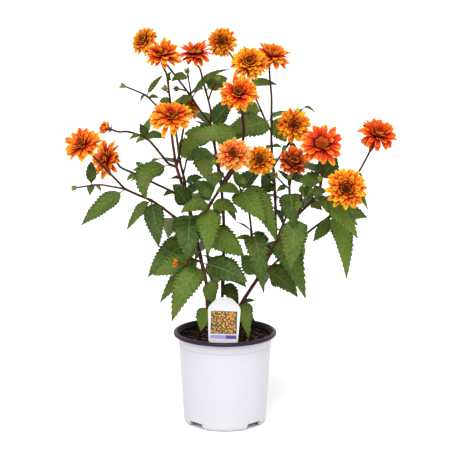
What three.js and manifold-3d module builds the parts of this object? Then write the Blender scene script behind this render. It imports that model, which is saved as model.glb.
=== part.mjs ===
import * as THREE from 'three';
import { mergeVertices } from 'three/addons/utils/BufferGeometryUtils.js';
import Module from 'manifold-3d';

// A garden perennial in its nursery pot, in millimetres. +X is to the right in the photograph, +Y
// away from the viewer and +Z up. Everything is laid out from the middle of the pot's foot, and
// the whole is then moved so that the origin lies under the middle of its box, on the floor.

const gap = 0.3;

const pot = {
  height: 149,
  lipRadius: 82.5,
  lipHeight: 6,
  lipInside: 76.5,
  topRadius: 74.8,
  bandHeight: 15,
  bandStep: 0.5,
  baseRadius: 65.5,
  cornerRadius: 5,
  edgeBevel: 1.2,
  lipBevel: 3,
  lipMeetsWall: 6,
  wall: 2.4,
  footHeight: 10,
  footWidth: 6,
  floorThickness: 2.4,
  notchHalfAngle: 15,
  notchTopHalfAngle: 11,
  sides: 30,
};

const soil = {
  edgeLevel: 139,
  middleLevel: 142,
  crownAt: 0.6,
  crownShare: 0.7,
  wallClearance: 0.4,
  sides: 24,
};

const root = {
  depth: 11,
  clearance: 0.6,
  holeAbove: 10,
  sides: 8,
};

const tag = {
  at: [-3, -57],
  width: 51,
  bottomWidth: 46,
  height: 74,
  shoulder: 20,
  corner: 4,
  crown: 1.5,
  thickness: 1.2,
  bottomLevel: 141.5,
  stakeWidth: 14,
  stakeDepth: 22,
  leanBack: 5,
  tiltRight: 2,
};

// The plant's layout is read from the photograph. Each place is [across, down, depth]: across and
// down in the photograph's 450 by 450 frame, and depth in mm behind the pot's middle. This is the
// camera that it was taken with, as fitted to the pot's rim and foot.
const view = {
  distance: 2300,
  height: 746.5,
  pitch: THREE.MathUtils.degToRad(10.5),
  focal: 1480,
  middle: 225,
  rootLine: 325,
};

// Each bloom: where its disc's seat shows, its reach and disc in mm, and the way that it faces, in
// degrees: turn from the viewer towards the right, and lift above level.
const blooms = [
  { name: '01', at: [142.6, 39.6, 52], radius: 27, turn: -42, lift: 28, disc: 5, layers: 3 },
  { name: '02', at: [163, 52.6, -15], radius: 33, turn: 12, lift: 62, disc: 5, layers: 3 },
  { name: '03', at: [195.3, 51.8, 45], radius: 32, turn: -8, lift: 70, disc: 5, layers: 3 },
  { name: '04', at: [222.2, 41.4, 98], radius: 27, turn: -5, lift: 16, disc: 5.5, layers: 3 },
  { name: '05', at: [249.6, 61.2, 0], radius: 32, turn: 4, lift: 34, disc: 5, layers: 3 },
  { name: '06', at: [273, 54.6, 75], radius: 34, turn: 30, lift: 62, disc: 5, layers: 3 },
  { name: '07', at: [238.3, 91.5, -54], radius: 36, turn: 0, lift: 40, disc: 5, layers: 3 },
  { name: '08', at: [171, 114.5, -57], radius: 38, turn: 0, lift: 50, disc: 4.5, layers: 3 },
  { name: '09', at: [190, 106, 54], radius: 25, turn: 60, lift: 35, disc: 5, layers: 3 },
  { name: '10', at: [294.2, 124.6, 30], radius: 31, turn: 4, lift: 20, disc: 6, layers: 3 },
  { name: '11', at: [81.2, 143.4, -45], radius: 35, turn: -32, lift: 40, disc: 5, layers: 3 },
  { name: '12', at: [105, 158.6, 39], radius: 36, turn: -50, lift: 16, disc: 4.5, layers: 3 },
  { name: '13', at: [378.6, 133.4, 33], radius: 35, turn: 12, lift: 52, disc: 5, layers: 3 },
  { name: '14', at: [322, 143.4, -78], radius: 39, turn: 0, lift: 36, disc: 9.5, layers: 3 },
  { name: '15', at: [346.7, 188.6, -93], radius: 35, turn: 0, lift: 12, disc: 7, layers: 3 },
  { name: '16', at: [233.8, 153.2, -114], radius: 31, turn: 0, lift: 30, disc: 5.5, layers: 3 },
  { name: '17', at: [260.2, 159.8, -54], radius: 26, turn: 2, lift: 20, disc: 7, layers: 3 },
  { name: '18', at: [293.8, 160.4, 3], radius: 30, turn: 14, lift: 52, disc: 7, layers: 3 },
  { name: '19', at: [106.8, 128, 6], radius: 20, turn: -70, lift: 20, disc: 3.6, layers: 2 },
  { name: '20', at: [175.9, 263, -81], radius: 10, turn: -70, lift: 10, disc: 3, layers: 2 },
];

// Each shoot's route, its thickness as a radius at both ends, and what it ends in.
const shoots = [
  { name: 'left_main', stem: 'left', thick: [2.6, 2.0], end: 'plain', route: [
    [214, 328.5, 9], [208, 292, 15], [200, 255, 15], [193, 225, 8], [186.5, 197.5, 0], [181, 181, -8],
    [176.4, 167, -15]
  ] },
  { name: 'left_to_08', stem: 'left', thick: [1.8, 1.4], end: 'bloom_08', route: [
    [176.4, 167, -15], [173.6, 149, -24], [171.6, 133, -30]
  ] },
  { name: 'left_to_19', stem: 'left', thick: [1.7, 1.1], end: 'bloom_19', route: [
    [176.4, 167, -15], [168.5, 163.5, -12], [162.5, 156.4, -9], [155, 147, -6], [149.1, 140.6, -3],
    [143.7, 137.3, 0], [137, 134.2, 3], [127, 131.6, 4]
  ] },
  { name: 'left_to_09', stem: 'left', thick: [1.5, 1.1], end: 'bloom_09', route: [
    [176.4, 167, -15], [179.5, 152, -3], [182.1, 136.5, 15], [184, 124, 30]
  ] },
  { name: 'left_to_02', stem: 'left', thick: [1.7, 1.1], end: 'bloom_02', route: [
    [186.5, 197.5, 0], [184.2, 179, 12], [179.7, 160.2, 21], [176.8, 138, 24], [172.5, 115, 21],
    [169.4, 95, 9], [166.5, 74, -9]
  ] },
  { name: 'left_twig', stem: 'left', thick: [1.1, 0.9], end: 'bud', route: [
    [183.2, 174.5, 14], [185.3, 166, 15], [187, 158, 16]
  ] },
  { name: 'left_to_12', stem: 'left', thick: [1.6, 1.2], end: 'bloom_12', route: [
    [188, 203, 2], [172.1, 191.8, 18], [155, 183.5, 27], [137, 174.5, 36], [121, 167.5, 39]
  ] },
  { name: 'left_side_twig', stem: 'left', thick: [1.0, 0.8], end: 'bud', route: [
    [146, 179, 32], [143, 172, 24], [140.8, 166.5, 18]
  ] },
  { name: 'left_low', stem: 'left', thick: [2.0, 1.5], end: 'plain', route: [
    [196.5, 239, 12], [186, 226.5, 0], [174, 216.7, -12], [162, 207.5, -20], [151, 200.4, -24],
    [137, 194.5, -27], [125, 189, -30]
  ] },
  { name: 'left_to_11', stem: 'left', thick: [1.4, 1.1], end: 'bloom_11', route: [
    [125, 189, -30], [112, 175.5, -32], [99, 162, -33]
  ] },
  { name: 'left_far_bud', stem: 'left', thick: [1.2, 0.9], end: 'bud', route: [
    [125, 189, -30], [112, 186.6, -27], [100, 184.8, -24], [86, 186.3, -21], [76, 187.6, -18]
  ] },
  { name: 'left_high_bud', stem: 'left', thick: [1.2, 0.9], end: 'bud', route: [
    [172.2, 113.5, 20], [161, 109, 30], [154.4, 103.6, 36], [146.3, 95.8, 42], [134, 90, 45],
    [124.5, 86.3, 48]
  ] },
  { name: 'left_near_bud', stem: 'left', thick: [0.9, 0.8], end: 'bud', route: [
    [169.1, 93.5, 8], [167.2, 91.5, -3], [165.6, 89.5, -9]
  ] },
  { name: 'centre_main', stem: 'centre', thick: [2.4, 1.7], end: 'plain', route: [
    [222, 328.5, 33], [222.3, 297, 33], [223.4, 262, 32], [224, 231, 30], [222.8, 205, 30],
    [221, 185, 33], [217, 160, 40], [213.3, 138, 46], [210.5, 124, 50]
  ] },
  { name: 'centre_to_01', stem: 'centre', thick: [1.4, 1.0], end: 'bloom_01', route: [
    [210.5, 124, 50], [200, 110, 51], [187, 91, 52], [176, 76.5, 52], [167, 65, 51], [156, 51.5, 54]
  ] },
  { name: 'centre_to_03', stem: 'centre', thick: [1.4, 1.0], end: 'bloom_03', route: [
    [210.5, 124, 50], [210.8, 112, 51], [207.5, 97, 50], [203, 81, 48], [199.6, 68, 46]
  ] },
  { name: 'centre_to_07', stem: 'centre', thick: [2.0, 1.5], end: 'bloom_07', route: [
    [221, 185, 33], [230, 171, 15], [239, 153, -9], [243.6, 136, -21], [243, 120, -28],
    [241.6, 108, -33]
  ] },
  { name: 'centre_red_bud', stem: 'centre', thick: [1.0, 0.9], end: 'bud', route: [
    [187, 91, 52], [182, 89.6, 50], [178, 88.9, 46]
  ] },
  { name: 'centre_high_bud', stem: 'centre', thick: [1.0, 0.8], end: 'bud', route: [
    [191.5, 97.5, 52], [190, 88, 45], [187.6, 73, 39]
  ] },
  { name: 'centre_mid_bud', stem: 'centre', thick: [1.0, 0.8], end: 'bud', route: [
    [208.3, 101, 50], [212, 90, 44], [217, 80, 38]
  ] },
  { name: 'front_main', stem: 'front', thick: [2.0, 1.7], end: 'plain', route: [
    [217.5, 328.5, -9], [213, 290, -14], [207, 250, -21], [205, 225, -28], [206.5, 212, -34],
    [210.4, 204, -40], [217, 193.7, -51], [226.4, 181.3, -62]
  ] },
  { name: 'front_to_16', stem: 'front', thick: [1.5, 1.3], end: 'bloom_16', route: [
    [226.4, 181.3, -62], [231, 174.5, -69], [234, 168, -78]
  ] },
  { name: 'front_bud', stem: 'front', thick: [1.1, 0.9], end: 'bud', route: [
    [226.4, 181.3, -62], [220, 171, -69], [215.2, 163.5, -75]
  ] },
  { name: 'low_main', stem: 'low', thick: [1.8, 1.4], end: 'plain', route: [
    [210, 328.5, -36], [206.5, 300, -42], [205.6, 277, -46], [203.5, 268.5, -50], [200.5, 261.7, -52]
  ] },
  { name: 'low_to_20', stem: 'low', thick: [1.1, 0.9], end: 'bloom_20', route: [
    [200.5, 261.7, -52], [195, 259.6, -62], [188.5, 259.8, -70]
  ] },
  { name: 'right_main', stem: 'right', thick: [2.8, 2.3], end: 'plain', route: [
    [236.5, 328.5, -6], [241.4, 304.4, -8], [250, 290, -9], [258.5, 277, -10], [268.8, 256.3, -12],
    [276.2, 242, -12]
  ] },
  { name: 'right_tall', stem: 'right', thick: [1.8, 1.1], end: 'bloom_06', route: [
    [276.2, 242, -12], [275.6, 222, 3], [275.4, 204, 14], [274.1, 178, 27], [271.6, 146, 40],
    [271.4, 119, 52], [271.5, 96, 63], [269.8, 78, 72]
  ] },
  { name: 'right_inner', stem: 'right', thick: [1.5, 1.1], end: 'bloom_18', route: [
    [276.2, 242, -12], [281, 229, -12], [286.2, 216.5, -9], [289.6, 203, -6], [289.5, 188, -4],
    [291, 176, -3]
  ] },
  { name: 'right_outer', stem: 'right', thick: [1.9, 1.5], end: 'plain', route: [
    [276.2, 242, -12], [285.4, 229.8, -27], [297, 215.7, -42], [306, 207, -50], [315.2, 197.8, -54],
    [322, 192.8, -54]
  ] },
  { name: 'right_to_13', stem: 'right', thick: [1.4, 1.1], end: 'bloom_13', route: [
    [322, 192.8, -54], [332, 188, -42], [345, 181.5, -18], [357.6, 173, 3], [366.5, 158, 15],
    [372.5, 146, 21]
  ] },
  { name: 'right_to_14', stem: 'right', thick: [1.5, 1.2], end: 'bloom_14', route: [
    [319, 195.2, -54], [320.4, 186, -58], [321.8, 173, -60]
  ] },
  { name: 'right_low', stem: 'right', thick: [1.7, 1.3], end: 'plain', route: [
    [259, 276, -10], [264.5, 272.6, -4], [270.4, 267.5, 2], [278.7, 259.6, 9], [294, 245, 18],
    [310.2, 230.6, 22], [321, 222.5, 20], [331, 215.5, 9]
  ] },
  { name: 'right_to_15', stem: 'right', thick: [1.4, 1.2], end: 'bloom_15', route: [
    [331, 215.5, 9], [338, 206, -12], [343, 198, -38]
  ] },
  { name: 'right_to_04', stem: 'right', thick: [1.2, 1.0], end: 'bloom_04', route: [
    [270.9, 131, 47], [266, 121.6, 56], [253.6, 94, 74], [241, 72, 86], [233.5, 59, 96]
  ] },
  { name: 'right_to_05', stem: 'right', thick: [1.1, 1.0], end: 'bloom_05', route: [
    [253.6, 94, 74], [252.6, 84, 54], [251.8, 76, 33]
  ] },
  { name: 'right_to_10', stem: 'right', thick: [1.3, 1.1], end: 'bloom_10', route: [
    [273.2, 167, 32], [278.6, 158.6, 36], [284, 150.5, 40], [289.5, 141.8, 45]
  ] },
  { name: 'right_to_17', stem: 'right', thick: [1.2, 1.0], end: 'bloom_17', route: [
    [274.4, 184, 24], [270, 177.5, 9], [265, 171, -9]
  ] },
  { name: 'right_red_bud', stem: 'right', thick: [1.0, 0.9], end: 'bud', route: [
    [289.5, 189, -4], [284, 184.5, -12], [276.5, 176.5, -21]
  ] },
  { name: 'right_inner_bud', stem: 'right', thick: [0.9, 0.8], end: 'bud', route: [
    [289.5, 186.5, -4], [288.3, 183, -12], [289, 178.6, -9]
  ] },
  { name: 'right_front_bud', stem: 'right', thick: [0.9, 0.8], end: 'bud', route: [
    [320.9, 182.5, -59], [321.8, 181.5, -72], [320.4, 179.6, -84]
  ] },
  { name: 'right_mid', stem: 'right', thick: [1.5, 1.2], end: 'plain', route: [
    [263, 268, -11], [257.5, 256, -18], [254.5, 247, -22], [252.2, 238.5, -27], [250, 218.6, -32],
    [247, 203, -36], [240.5, 189.5, -42]
  ] },
  { name: 'right_mid_bud', stem: 'right', thick: [0.9, 0.8], end: 'bud', route: [
    [240.5, 189.5, -42], [239.5, 185.5, -52], [241.6, 182.4, -62]
  ] },
  { name: 'right_cluster', stem: 'right', thick: [1.1, 0.9], end: 'plain', route: [
    [298.3, 214.4, -43], [300.3, 204, -51], [301.5, 194.5, -56]
  ] },
];

// Each leaf: its shoot, where its stalk and its tip show, its width in mm, and for some a place that
// the leaf bends by.
const leaves = [
  ['left_low', [125, 189], [81.4, 225, -51], 31, [103, 206, -42]],
  ['left_low', [151, 200.4], [127, 229.5, -10], 22],
  ['left_low', [151.5, 200.7], [158.7, 246.8, -66], 31],
  ['left_low', [174, 216.7], [168, 238, 60], 29],
  ['left_to_19', [143.7, 137.3], [165, 138.4, -45], 16],
  ['left_to_19', [171, 165], [146.5, 199, -75], 34, [147, 175, -51]],
  ['left_to_09', [177, 163.5], [150, 163, 33], 22, [163, 159, 15]],
  ['left_to_02', [179.9, 160.8], [199, 139, 27], 36],
  ['left_to_12', [138, 175], [152, 178.5, 66], 26],
  ['left_main', [189.3, 208.5], [172.5, 185, -33], 29],
  ['left_main', [190, 212], [187.5, 260, -84], 50, [189, 229, -60]],
  ['left_main', [197.5, 243], [148.3, 276.7, -60], 42, [174, 251, -33]],
  ['left_main', [197, 241], [186, 262, 117], 36],
  ['left_main', [185.5, 194], [197, 206, 90], 34],
  ['left_far_bud', [92.5, 185.5], [91, 161.5, -9], 17],
  ['left_to_02', [171.6, 109.5], [184, 97, 51], 19],
  ['left_to_02', [171.2, 107], [159.5, 101.5, -6], 19],
  ['centre_main', [210.8, 125.5], [235, 101, 24], 31],
  ['centre_main', [211, 126.5], [197, 112, 94], 24],
  ['centre_main', [213.8, 141], [243.5, 137, 9], 36],
  ['centre_main', [214, 142.5], [184.5, 133.5, 54], 34],
  ['centre_main', [216.2, 155.5], [213, 187, -36], 38, [204, 158, -9]],
  ['centre_main', [218.5, 169], [230, 160, 138], 34],
  ['centre_main', [220.5, 182], [205, 176, 129], 31],
  ['centre_main', [222.9, 207], [236, 221, 63], 16],
  ['centre_main', [223, 209], [209, 222, 90], 24],
  ['front_main', [205.2, 228], [244, 256, -40], 42, [223, 240, -42]],
  ['centre_main', [224, 240], [200, 252, 120], 34],
  ['centre_main', [223.2, 266], [246, 287, -15], 24],
  ['centre_main', [223.2, 268], [215, 286, 126], 34],
  ['centre_main', [222.8, 281], [238.5, 304.5, 15], 24],
  ['centre_to_01', [188.5, 93.5], [183.5, 105.5, 18], 18],
  ['centre_high_bud', [188, 75.5], [171.8, 81, 15], 18],
  ['centre_to_03', [206, 92], [227.5, 78, 66], 29],
  ['centre_to_07', [240.5, 149], [247, 167, 33], 24],
  ['front_main', [210, 204.6], [181, 212.8, -72], 29],
  ['front_main', [210.8, 203.6], [237.5, 212.8, -75], 26],
  ['front_main', [209.4, 205.8], [208.8, 253.5, -99], 38],
  ['front_main', [211.5, 202.5], [190.5, 199.5, -6], 17],
  ['front_main', [212, 201.5], [185.5, 181.5, -12], 29, [203, 186, -21]],
  ['front_bud', [220.3, 171.5], [214.5, 187.5, -99], 18],
  ['front_main', [205.3, 229], [213, 243, 30], 26],
  ['low_main', [201, 262.4], [247, 282, -93], 42, [225, 270, -80]],
  ['low_main', [200.7, 262], [153.7, 275.4, -66], 36],
  ['low_main', [203.5, 268.5], [172, 321, -99], 42, [188, 282, -84]],
  ['low_main', [205.8, 280], [213.5, 304, -34], 32, [210, 290, -42]],
  ['low_main', [205.5, 276], [160.3, 302.4, -33], 31, [183, 277, -45]],
  ['low_main', [207.3, 306], [200.5, 331, -44], 26],
  ['right_mid', [240.8, 190], [265, 221, -99], 46, [249, 202, -70]],
  ['right_mid', [241.5, 191.5], [216, 192.5, -99], 23],
  ['right_mid', [242.5, 193.5], [258.5, 167, -12], 36],
  ['right_mid', [240.8, 190], [276, 241, -60], 40, [259, 203, -50]],
  ['right_tall', [275.4, 206], [284, 227, 36], 12],
  ['right_tall', [275.3, 200], [291, 206, 111], 31],
  ['right_tall', [271.4, 119.5], [228, 127, 15], 44, [250, 126, 20]],
  ['right_tall', [271.4, 121], [286, 142, 60], 36],
  ['right_tall', [271.4, 118], [294, 112.5, 105], 22],
  ['right_tall', [272.5, 160], [262, 172, 120], 29],
  ['right_to_04', [262, 112.5], [237, 113, 60], 29],
  ['right_to_04', [247.3, 83], [277, 84.5, 99], 17],
  ['right_to_10', [289, 142.5], [315, 112.5, 78], 22, [300, 111, 69]],
  ['right_inner', [289.5, 190], [293.9, 226.5, -60], 38],
  ['right_inner', [290.3, 181], [303.5, 176, 15], 22],
  ['right_outer', [297.5, 215.2], [290.2, 269.4, -81], 41],
  ['right_outer', [277, 241.2], [305.6, 298.4, -36], 46, [287, 250, -24]],
  ['right_inner', [276.8, 240.5], [267.5, 257, 33], 20],
  ['right_tall', [276, 230], [291, 240, 93], 31],
  ['right_low', [266, 271.5], [297.5, 297, -14], 44, [281, 279, -2]],
  ['right_main', [258.5, 277], [241, 255.5, -6], 29],
  ['right_main', [264, 266], [262, 288, 93], 34],
  ['right_low', [278.7, 259.6], [298, 270, 99], 34],
  ['right_mid', [252.4, 239.3], [263.7, 292.7, -69], 36, [257, 246, -51]],
  ['right_mid', [252, 237.5], [269, 239.5, -45], 16],
  ['right_main', [241.4, 304.4], [254.5, 300, 15], 17],
  ['right_main', [241.2, 305.4], [248.5, 338, -42], 27, [244.5, 312, -30]],
  ['right_main', [240.8, 307], [255, 323, 18], 18],
  ['right_low', [331, 215.5], [313.3, 241, -24], 22, [323, 230, -9]],
  ['right_low', [330, 216.3], [346.5, 278.5, -24], 34, [342, 234, -18]],
  ['right_low', [329, 217], [357.7, 225.5, 51], 31],
  ['right_to_15', [334, 211.5], [367, 217.5, 10], 26],
  ['right_outer', [321, 193.6], [357.6, 238.2, -75], 31],
  ['right_to_14', [321, 182], [337, 158, -48], 36],
  ['right_to_14', [321, 182.8], [299, 180, -40], 32],
  ['right_to_14', [320.6, 185], [315.5, 200, -99], 17],
  ['right_outer', [316.5, 196.7], [304, 209.5, -21], 24],
  ['right_cluster', [301.3, 196], [313.5, 191.5, -75], 17],
  ['centre_to_07', [243.2, 134], [187, 137, -42], 34, [214, 134, -30]],
  ['right_to_14', [321.5, 177], [303, 163, -30], 26],
];

// A blade's width follows a sine that peaks before the middle. It faces upwards and to the viewer, or
// upwards and outwards where its tip lies well behind its base.
const blade = {
  thickness: 1.4,
  petiole: 0.12,
  petioleWidth: 2,
  petioleThicker: 1.2,
  fold: 0.2,
  tooth: 0.1,
  arch: 0.14,
  widest: 0.64,
  fullness: 0.82,
  tipGap: 0.35,
  faceUp: 0.75,
  faceViewer: 1.1,
  faceOut: 0.3,
  faceOutBehind: 0.45,
  behind: 20,
  steep: 0.9,
  rowsFor: (width) => (width >= 24 ? 6 : width >= 16 ? 4 : 3),
};

const stemSides = (radius) => (radius > 1.5 ? 5 : 4);
const stemStep = 34;

const bloomShape = {
  columns: 6,
  budColumns: 4,
  rowHeight: 1.7,
  coreClearance: 0.4,
  lifts: [-2, 20, 46],
  budLifts: [38, 58],
  lengths: [1, 0.9, 0.66],
  widths: [0.5, 0.46, 0.36],
  middle: 0.6,
  droop: [10, 8, -4],
  halfWidth: 0.4,
  keel: 1.3,
  tipKeel: 0.7,
  tipWidth: 0.42,
  unevenLift: 2.5,
  unevenLength: 0.14,
  unevenTurn: 0.04,
  seed: 101,
  seedStep: 7,
};

const discShape = { height: 0.62, shoulder: 0.78, shoulderHeight: 0.75, sides: 8 };

const calyx = {
  points: 5,
  cup: 4,
  length: 10,
  droop: 3.4,
  depth: 7,
  rim: 1,
  openingSize: 0.62,
  stemLead: 9,
  stemSunk: 3,
};

const bud = { radius: 4.4, length: 8, sides: 6, sunk: 0.4, rings: [[1, 0.15], [0.8, 0.6]] };

const looks = {
  pot: { color: 0xe9e7ee, roughness: 0.55 },
  soil: { color: 0x3a2418, roughness: 0.95 },
  tag: { color: 0xf2f0ee, roughness: 0.4 },
  foliage: { color: 0x48702a, roughness: 0.6 },
  petals: { color: 0xe84a1c, roughness: 0.55 },
  disc: { color: 0x4a1a10, roughness: 0.8 },
};

const wasm = await Module();
wasm.setup();

const vec = (x, y, z) => new THREE.Vector3(x, y, z);
const up = vec(0, 0, 1);
const toViewer = vec(0, -1, 0);

function seeded(seed) {
  let state = seed;
  return () => {
    state = (state * 1664525 + 1013904223) % 4294967296;
    return state / 4294967296;
  };
}

// Where a spot of the photograph lies in the part's frame, once its depth is known.
function placed([across, down, depth]) {
  const cos = Math.cos(view.pitch);
  const sin = Math.sin(view.pitch);
  const away = view.distance + depth;
  const slope = (view.middle - down) / view.focal;
  const rise = (away * (slope * cos - sin)) / (cos + slope * sin);
  const range = away * cos - rise * sin;
  return vec(((across - view.middle) * range) / view.focal, depth, view.height + rise);
}

function meshFrom(points, faces) {
  const geometry = new THREE.BufferGeometry();
  const places = points.flatMap((point) => point.toArray());
  geometry.setAttribute('position', new THREE.Float32BufferAttribute(places, 3));
  geometry.setIndex(faces.flat());
  return geometry;
}

function bare(geometry) {
  geometry.deleteAttribute('normal');
  geometry.deleteAttribute('uv');
  return mergeVertices(geometry, 1e-4);
}

function toSolid(geometry) {
  const merged = bare(geometry);
  return new wasm.Manifold(new wasm.Mesh({
    numProp: 3,
    vertProperties: Float32Array.from(merged.attributes.position.array),
    triVerts: Uint32Array.from(merged.index.array),
  }));
}

function fromSolid(solid) {
  const mesh = solid.getMesh();
  const geometry = new THREE.BufferGeometry();
  geometry.setAttribute('position', new THREE.BufferAttribute(mesh.vertProperties, 3));
  geometry.setIndex(new THREE.BufferAttribute(mesh.triVerts, 1));
  return geometry;
}

// Joins overlapping pieces into one body.
function fused(geometries) {
  return fromSolid(geometries.map(toSolid).reduce((whole, piece) => whole.add(piece)));
}

function named(name, geometry, look) {
  const mesh = new THREE.Mesh(geometry, new THREE.MeshStandardMaterial(look));
  mesh.name = name;
  return mesh;
}

// Rings of points, each joined to the next, with a fan at both ends.
function skinned(rings) {
  const sides = rings[0].length;
  const faces = [];
  for (let ring = 0; ring + 1 < rings.length; ring++) {
    for (let side = 0; side < sides; side++) {
      const a = ring * sides + side;
      const b = ring * sides + ((side + 1) % sides);
      faces.push([a, b, b + sides], [a, b + sides, a + sides]);
    }
  }
  const last = (rings.length - 1) * sides;
  for (let side = 1; side + 1 < sides; side++) {
    faces.push([0, side + 1, side], [last, last + side, last + side + 1]);
  }
  return meshFrom(rings.flat(), faces);
}

// Rings of points that close to a single point at both ends.
function spindle(start, rings, end) {
  const sides = rings[0].length;
  const points = [start, ...rings.flat(), end];
  const last = points.length - 1;
  const faces = [];
  for (let side = 0; side < sides; side++) {
    const next = (side + 1) % sides;
    faces.push([0, 1 + next, 1 + side], [last, last - sides + side, last - sides + next]);
    for (let ring = 0; ring + 1 < rings.length; ring++) {
      const a = 1 + ring * sides + side;
      const b = 1 + ring * sides + next;
      faces.push([a, b, b + sides], [a, b + sides, a + sides]);
    }
  }
  return meshFrom(points, faces);
}

// The places along a shoot's curve where its stem has a ring: each point of its route, and more
// where those lie far apart.
function stemLine(curve) {
  const spans = curve.points.length - 1;
  const stops = [];
  for (let span = 0; span < spans; span++) {
    const parts = Math.ceil(curve.points[span].distanceTo(curve.points[span + 1]) / stemStep);
    for (let part = 0; part < parts; part++) stops.push((span + part / parts) / spans);
  }
  return [...stops, 1].map((t) => ({ t, point: curve.getPoint(t), along: curve.getTangent(t) }));
}

// A round stem, thinner towards its end.
function stemTube(line, thick) {
  const side = vec(1, 0, 0).cross(line[0].along);
  const sides = stemSides(thick[0]);
  const rings = line.map(({ t, point, along }) => {
    side.addScaledVector(along, -side.dot(along)).normalize();
    const other = along.clone().cross(side);
    const radius = THREE.MathUtils.lerp(thick[0], thick[1], t);
    const ring = [];
    for (let k = 0; k < sides; k++) {
      const angle = (k / sides) * 2 * Math.PI;
      ring.push(point.clone()
        .addScaledVector(side, radius * Math.cos(angle))
        .addScaledVector(other, radius * Math.sin(angle)));
    }
    return ring;
  });
  return skinned(rings);
}

function bloomAxis({ turn, lift }) {
  const around = THREE.MathUtils.degToRad(turn);
  const rise = THREE.MathUtils.degToRad(lift);
  return vec(Math.sin(around) * Math.cos(rise), -Math.cos(around) * Math.cos(rise), Math.sin(rise));
}

const coreHeight = (bloom) => bloom.layers * bloomShape.rowHeight;
const coreRadius = (bloom) => bloom.disc + bloomShape.coreClearance;

function shootCurve(shoot) {
  const route = shoot.route.map(placed);
  if (shoot.route[0][1] > view.rootLine) {
    const [x, y] = route[0].toArray();
    route.unshift(vec(x, y, soil.edgeLevel - root.depth), vec(x, y, soil.edgeLevel + gap));
  }
  const bloom = blooms.find(({ name }) => shoot.end === `bloom_${name}`);
  if (bloom) {
    const centre = placed(bloom.at);
    const back = bloomAxis(bloom).negate();
    const foot = coreHeight(bloom) + calyx.depth;
    for (const level of [foot + calyx.stemLead, foot - calyx.stemSunk]) {
      route.push(centre.clone().addScaledVector(back, level));
    }
  }
  return new THREE.CatmullRomCurve3(route, false, 'centripetal');
}

// Where on a stem's axis a spot of the photograph lies.
function onStem(line, across, down) {
  const parts = 12;
  let best = { miss: Infinity };
  for (let ring = 0; ring + 1 < line.length; ring++) {
    for (let part = 0; part <= parts; part++) {
      const point = line[ring].point.clone().lerp(line[ring + 1].point, part / parts);
      const miss = point.distanceTo(placed([across, down, point.y]));
      if (miss < best.miss) best = { miss, point };
    }
  }
  return best.point;
}

// How wide a blade is, from its stalk to its tip, as a share of its full width.
function bladeWidth(t) {
  if (t <= blade.petiole) return 0;
  const along = (t - blade.petiole) / (1 - blade.petiole);
  return Math.sin(Math.PI * along ** blade.widest) ** blade.fullness;
}

// The way that a blade's upper side faces.
function bladeFacing(base, tip, control) {
  const outward = tip.clone().sub(base).setZ(0).normalize();
  const facing = up.clone().multiplyScalar(blade.faceUp);
  if (tip.y > base.y + blade.behind) facing.addScaledVector(outward, blade.faceOutBehind);
  else facing.addScaledVector(toViewer, blade.faceViewer).addScaledVector(outward, blade.faceOut);
  const chord = tip.clone().sub(base).normalize();
  if (Math.abs(facing.clone().normalize().dot(chord)) > blade.steep) {
    facing.add(control.clone().sub(base).normalize());
  }
  return facing.normalize();
}

function leafBlade([, , tipAt, width, bendAt], base) {
  const tip = placed(tipAt);
  const halfway = base.clone().lerp(tip, 0.5);
  const control = bendAt
    ? placed(bendAt).multiplyScalar(2).sub(halfway)
    : halfway.clone().addScaledVector(up, blade.arch * base.distanceTo(tip));
  const spine = new THREE.QuadraticBezierCurve3(base, control, tip);
  const facing = bladeFacing(base, tip, control);
  const rows = blade.rowsFor(width);
  const rings = [];
  for (let row = 0; row < rows; row++) {
    const t = THREE.MathUtils.lerp(blade.petiole, 1, row / (rows - blade.tipGap));
    const along = spine.getTangent(t);
    const normal = facing.clone().addScaledVector(along, -facing.dot(along)).normalize();
    const side = along.clone().cross(normal);
    const tooth = 1 + blade.tooth * (row % 2 ? 1 : -1);
    const half = Math.max(blade.petioleWidth / 2, (width / 2) * bladeWidth(t) * tooth);
    const thick = blade.thickness * (row ? 1 : blade.petioleThicker);
    const edge = half * blade.fold;
    const middle = spine.getPoint(t);
    const at = (across, above) => (
      middle.clone().addScaledVector(side, across).addScaledVector(normal, above));
    rings.push([at(-half, edge), at(0, thick / 2), at(half, edge), at(0, -thick / 2)]);
  }
  return spindle(base, rings, tip);
}

// A cup of pointed sepals behind a bloom, with its open side at the core's foot.
function calyxCup(bloom) {
  const centre = placed(bloom.at);
  const turnTo = new THREE.Quaternion().setFromUnitVectors(up, bloomAxis(bloom));
  const top = -coreHeight(bloom) - gap;
  const size = bloom.layers === 3 ? 1 : calyx.openingSize;
  const star = [];
  for (let k = 0; k < calyx.points * 2; k++) {
    const angle = (k / calyx.points) * Math.PI;
    const [reach, level] = k % 2 ? [calyx.length, -calyx.droop] : [calyx.cup, 0];
    const point = vec(reach * Math.cos(angle), reach * Math.sin(angle), level - calyx.rim);
    star.push(point.multiplyScalar(size));
  }
  const raised = (p, level) => p.setZ(p.z + level).applyQuaternion(turnTo).add(centre);
  const foot = raised(vec(0, 0, 0), top - calyx.depth);
  return spindle(foot, [star.map((p) => raised(p, top))], raised(vec(0, 0, 0), top));
}

function budShape({ point: end, along }) {
  const turnTo = new THREE.Quaternion().setFromUnitVectors(up, along);
  const at = (radius, level, angle = 0) => (
    vec(radius * Math.cos(angle), radius * Math.sin(angle), level).applyQuaternion(turnTo).add(end));
  const rings = bud.rings.map(([radius, level]) => {
    const ring = [];
    for (let k = 0; k < bud.sides; k++) {
      ring.push(at(radius * bud.radius, level * bud.length, (k / bud.sides) * 2 * Math.PI));
    }
    return ring;
  });
  return spindle(at(0, -bud.sunk * bud.length), rings, at(0, bud.length));
}

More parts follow.
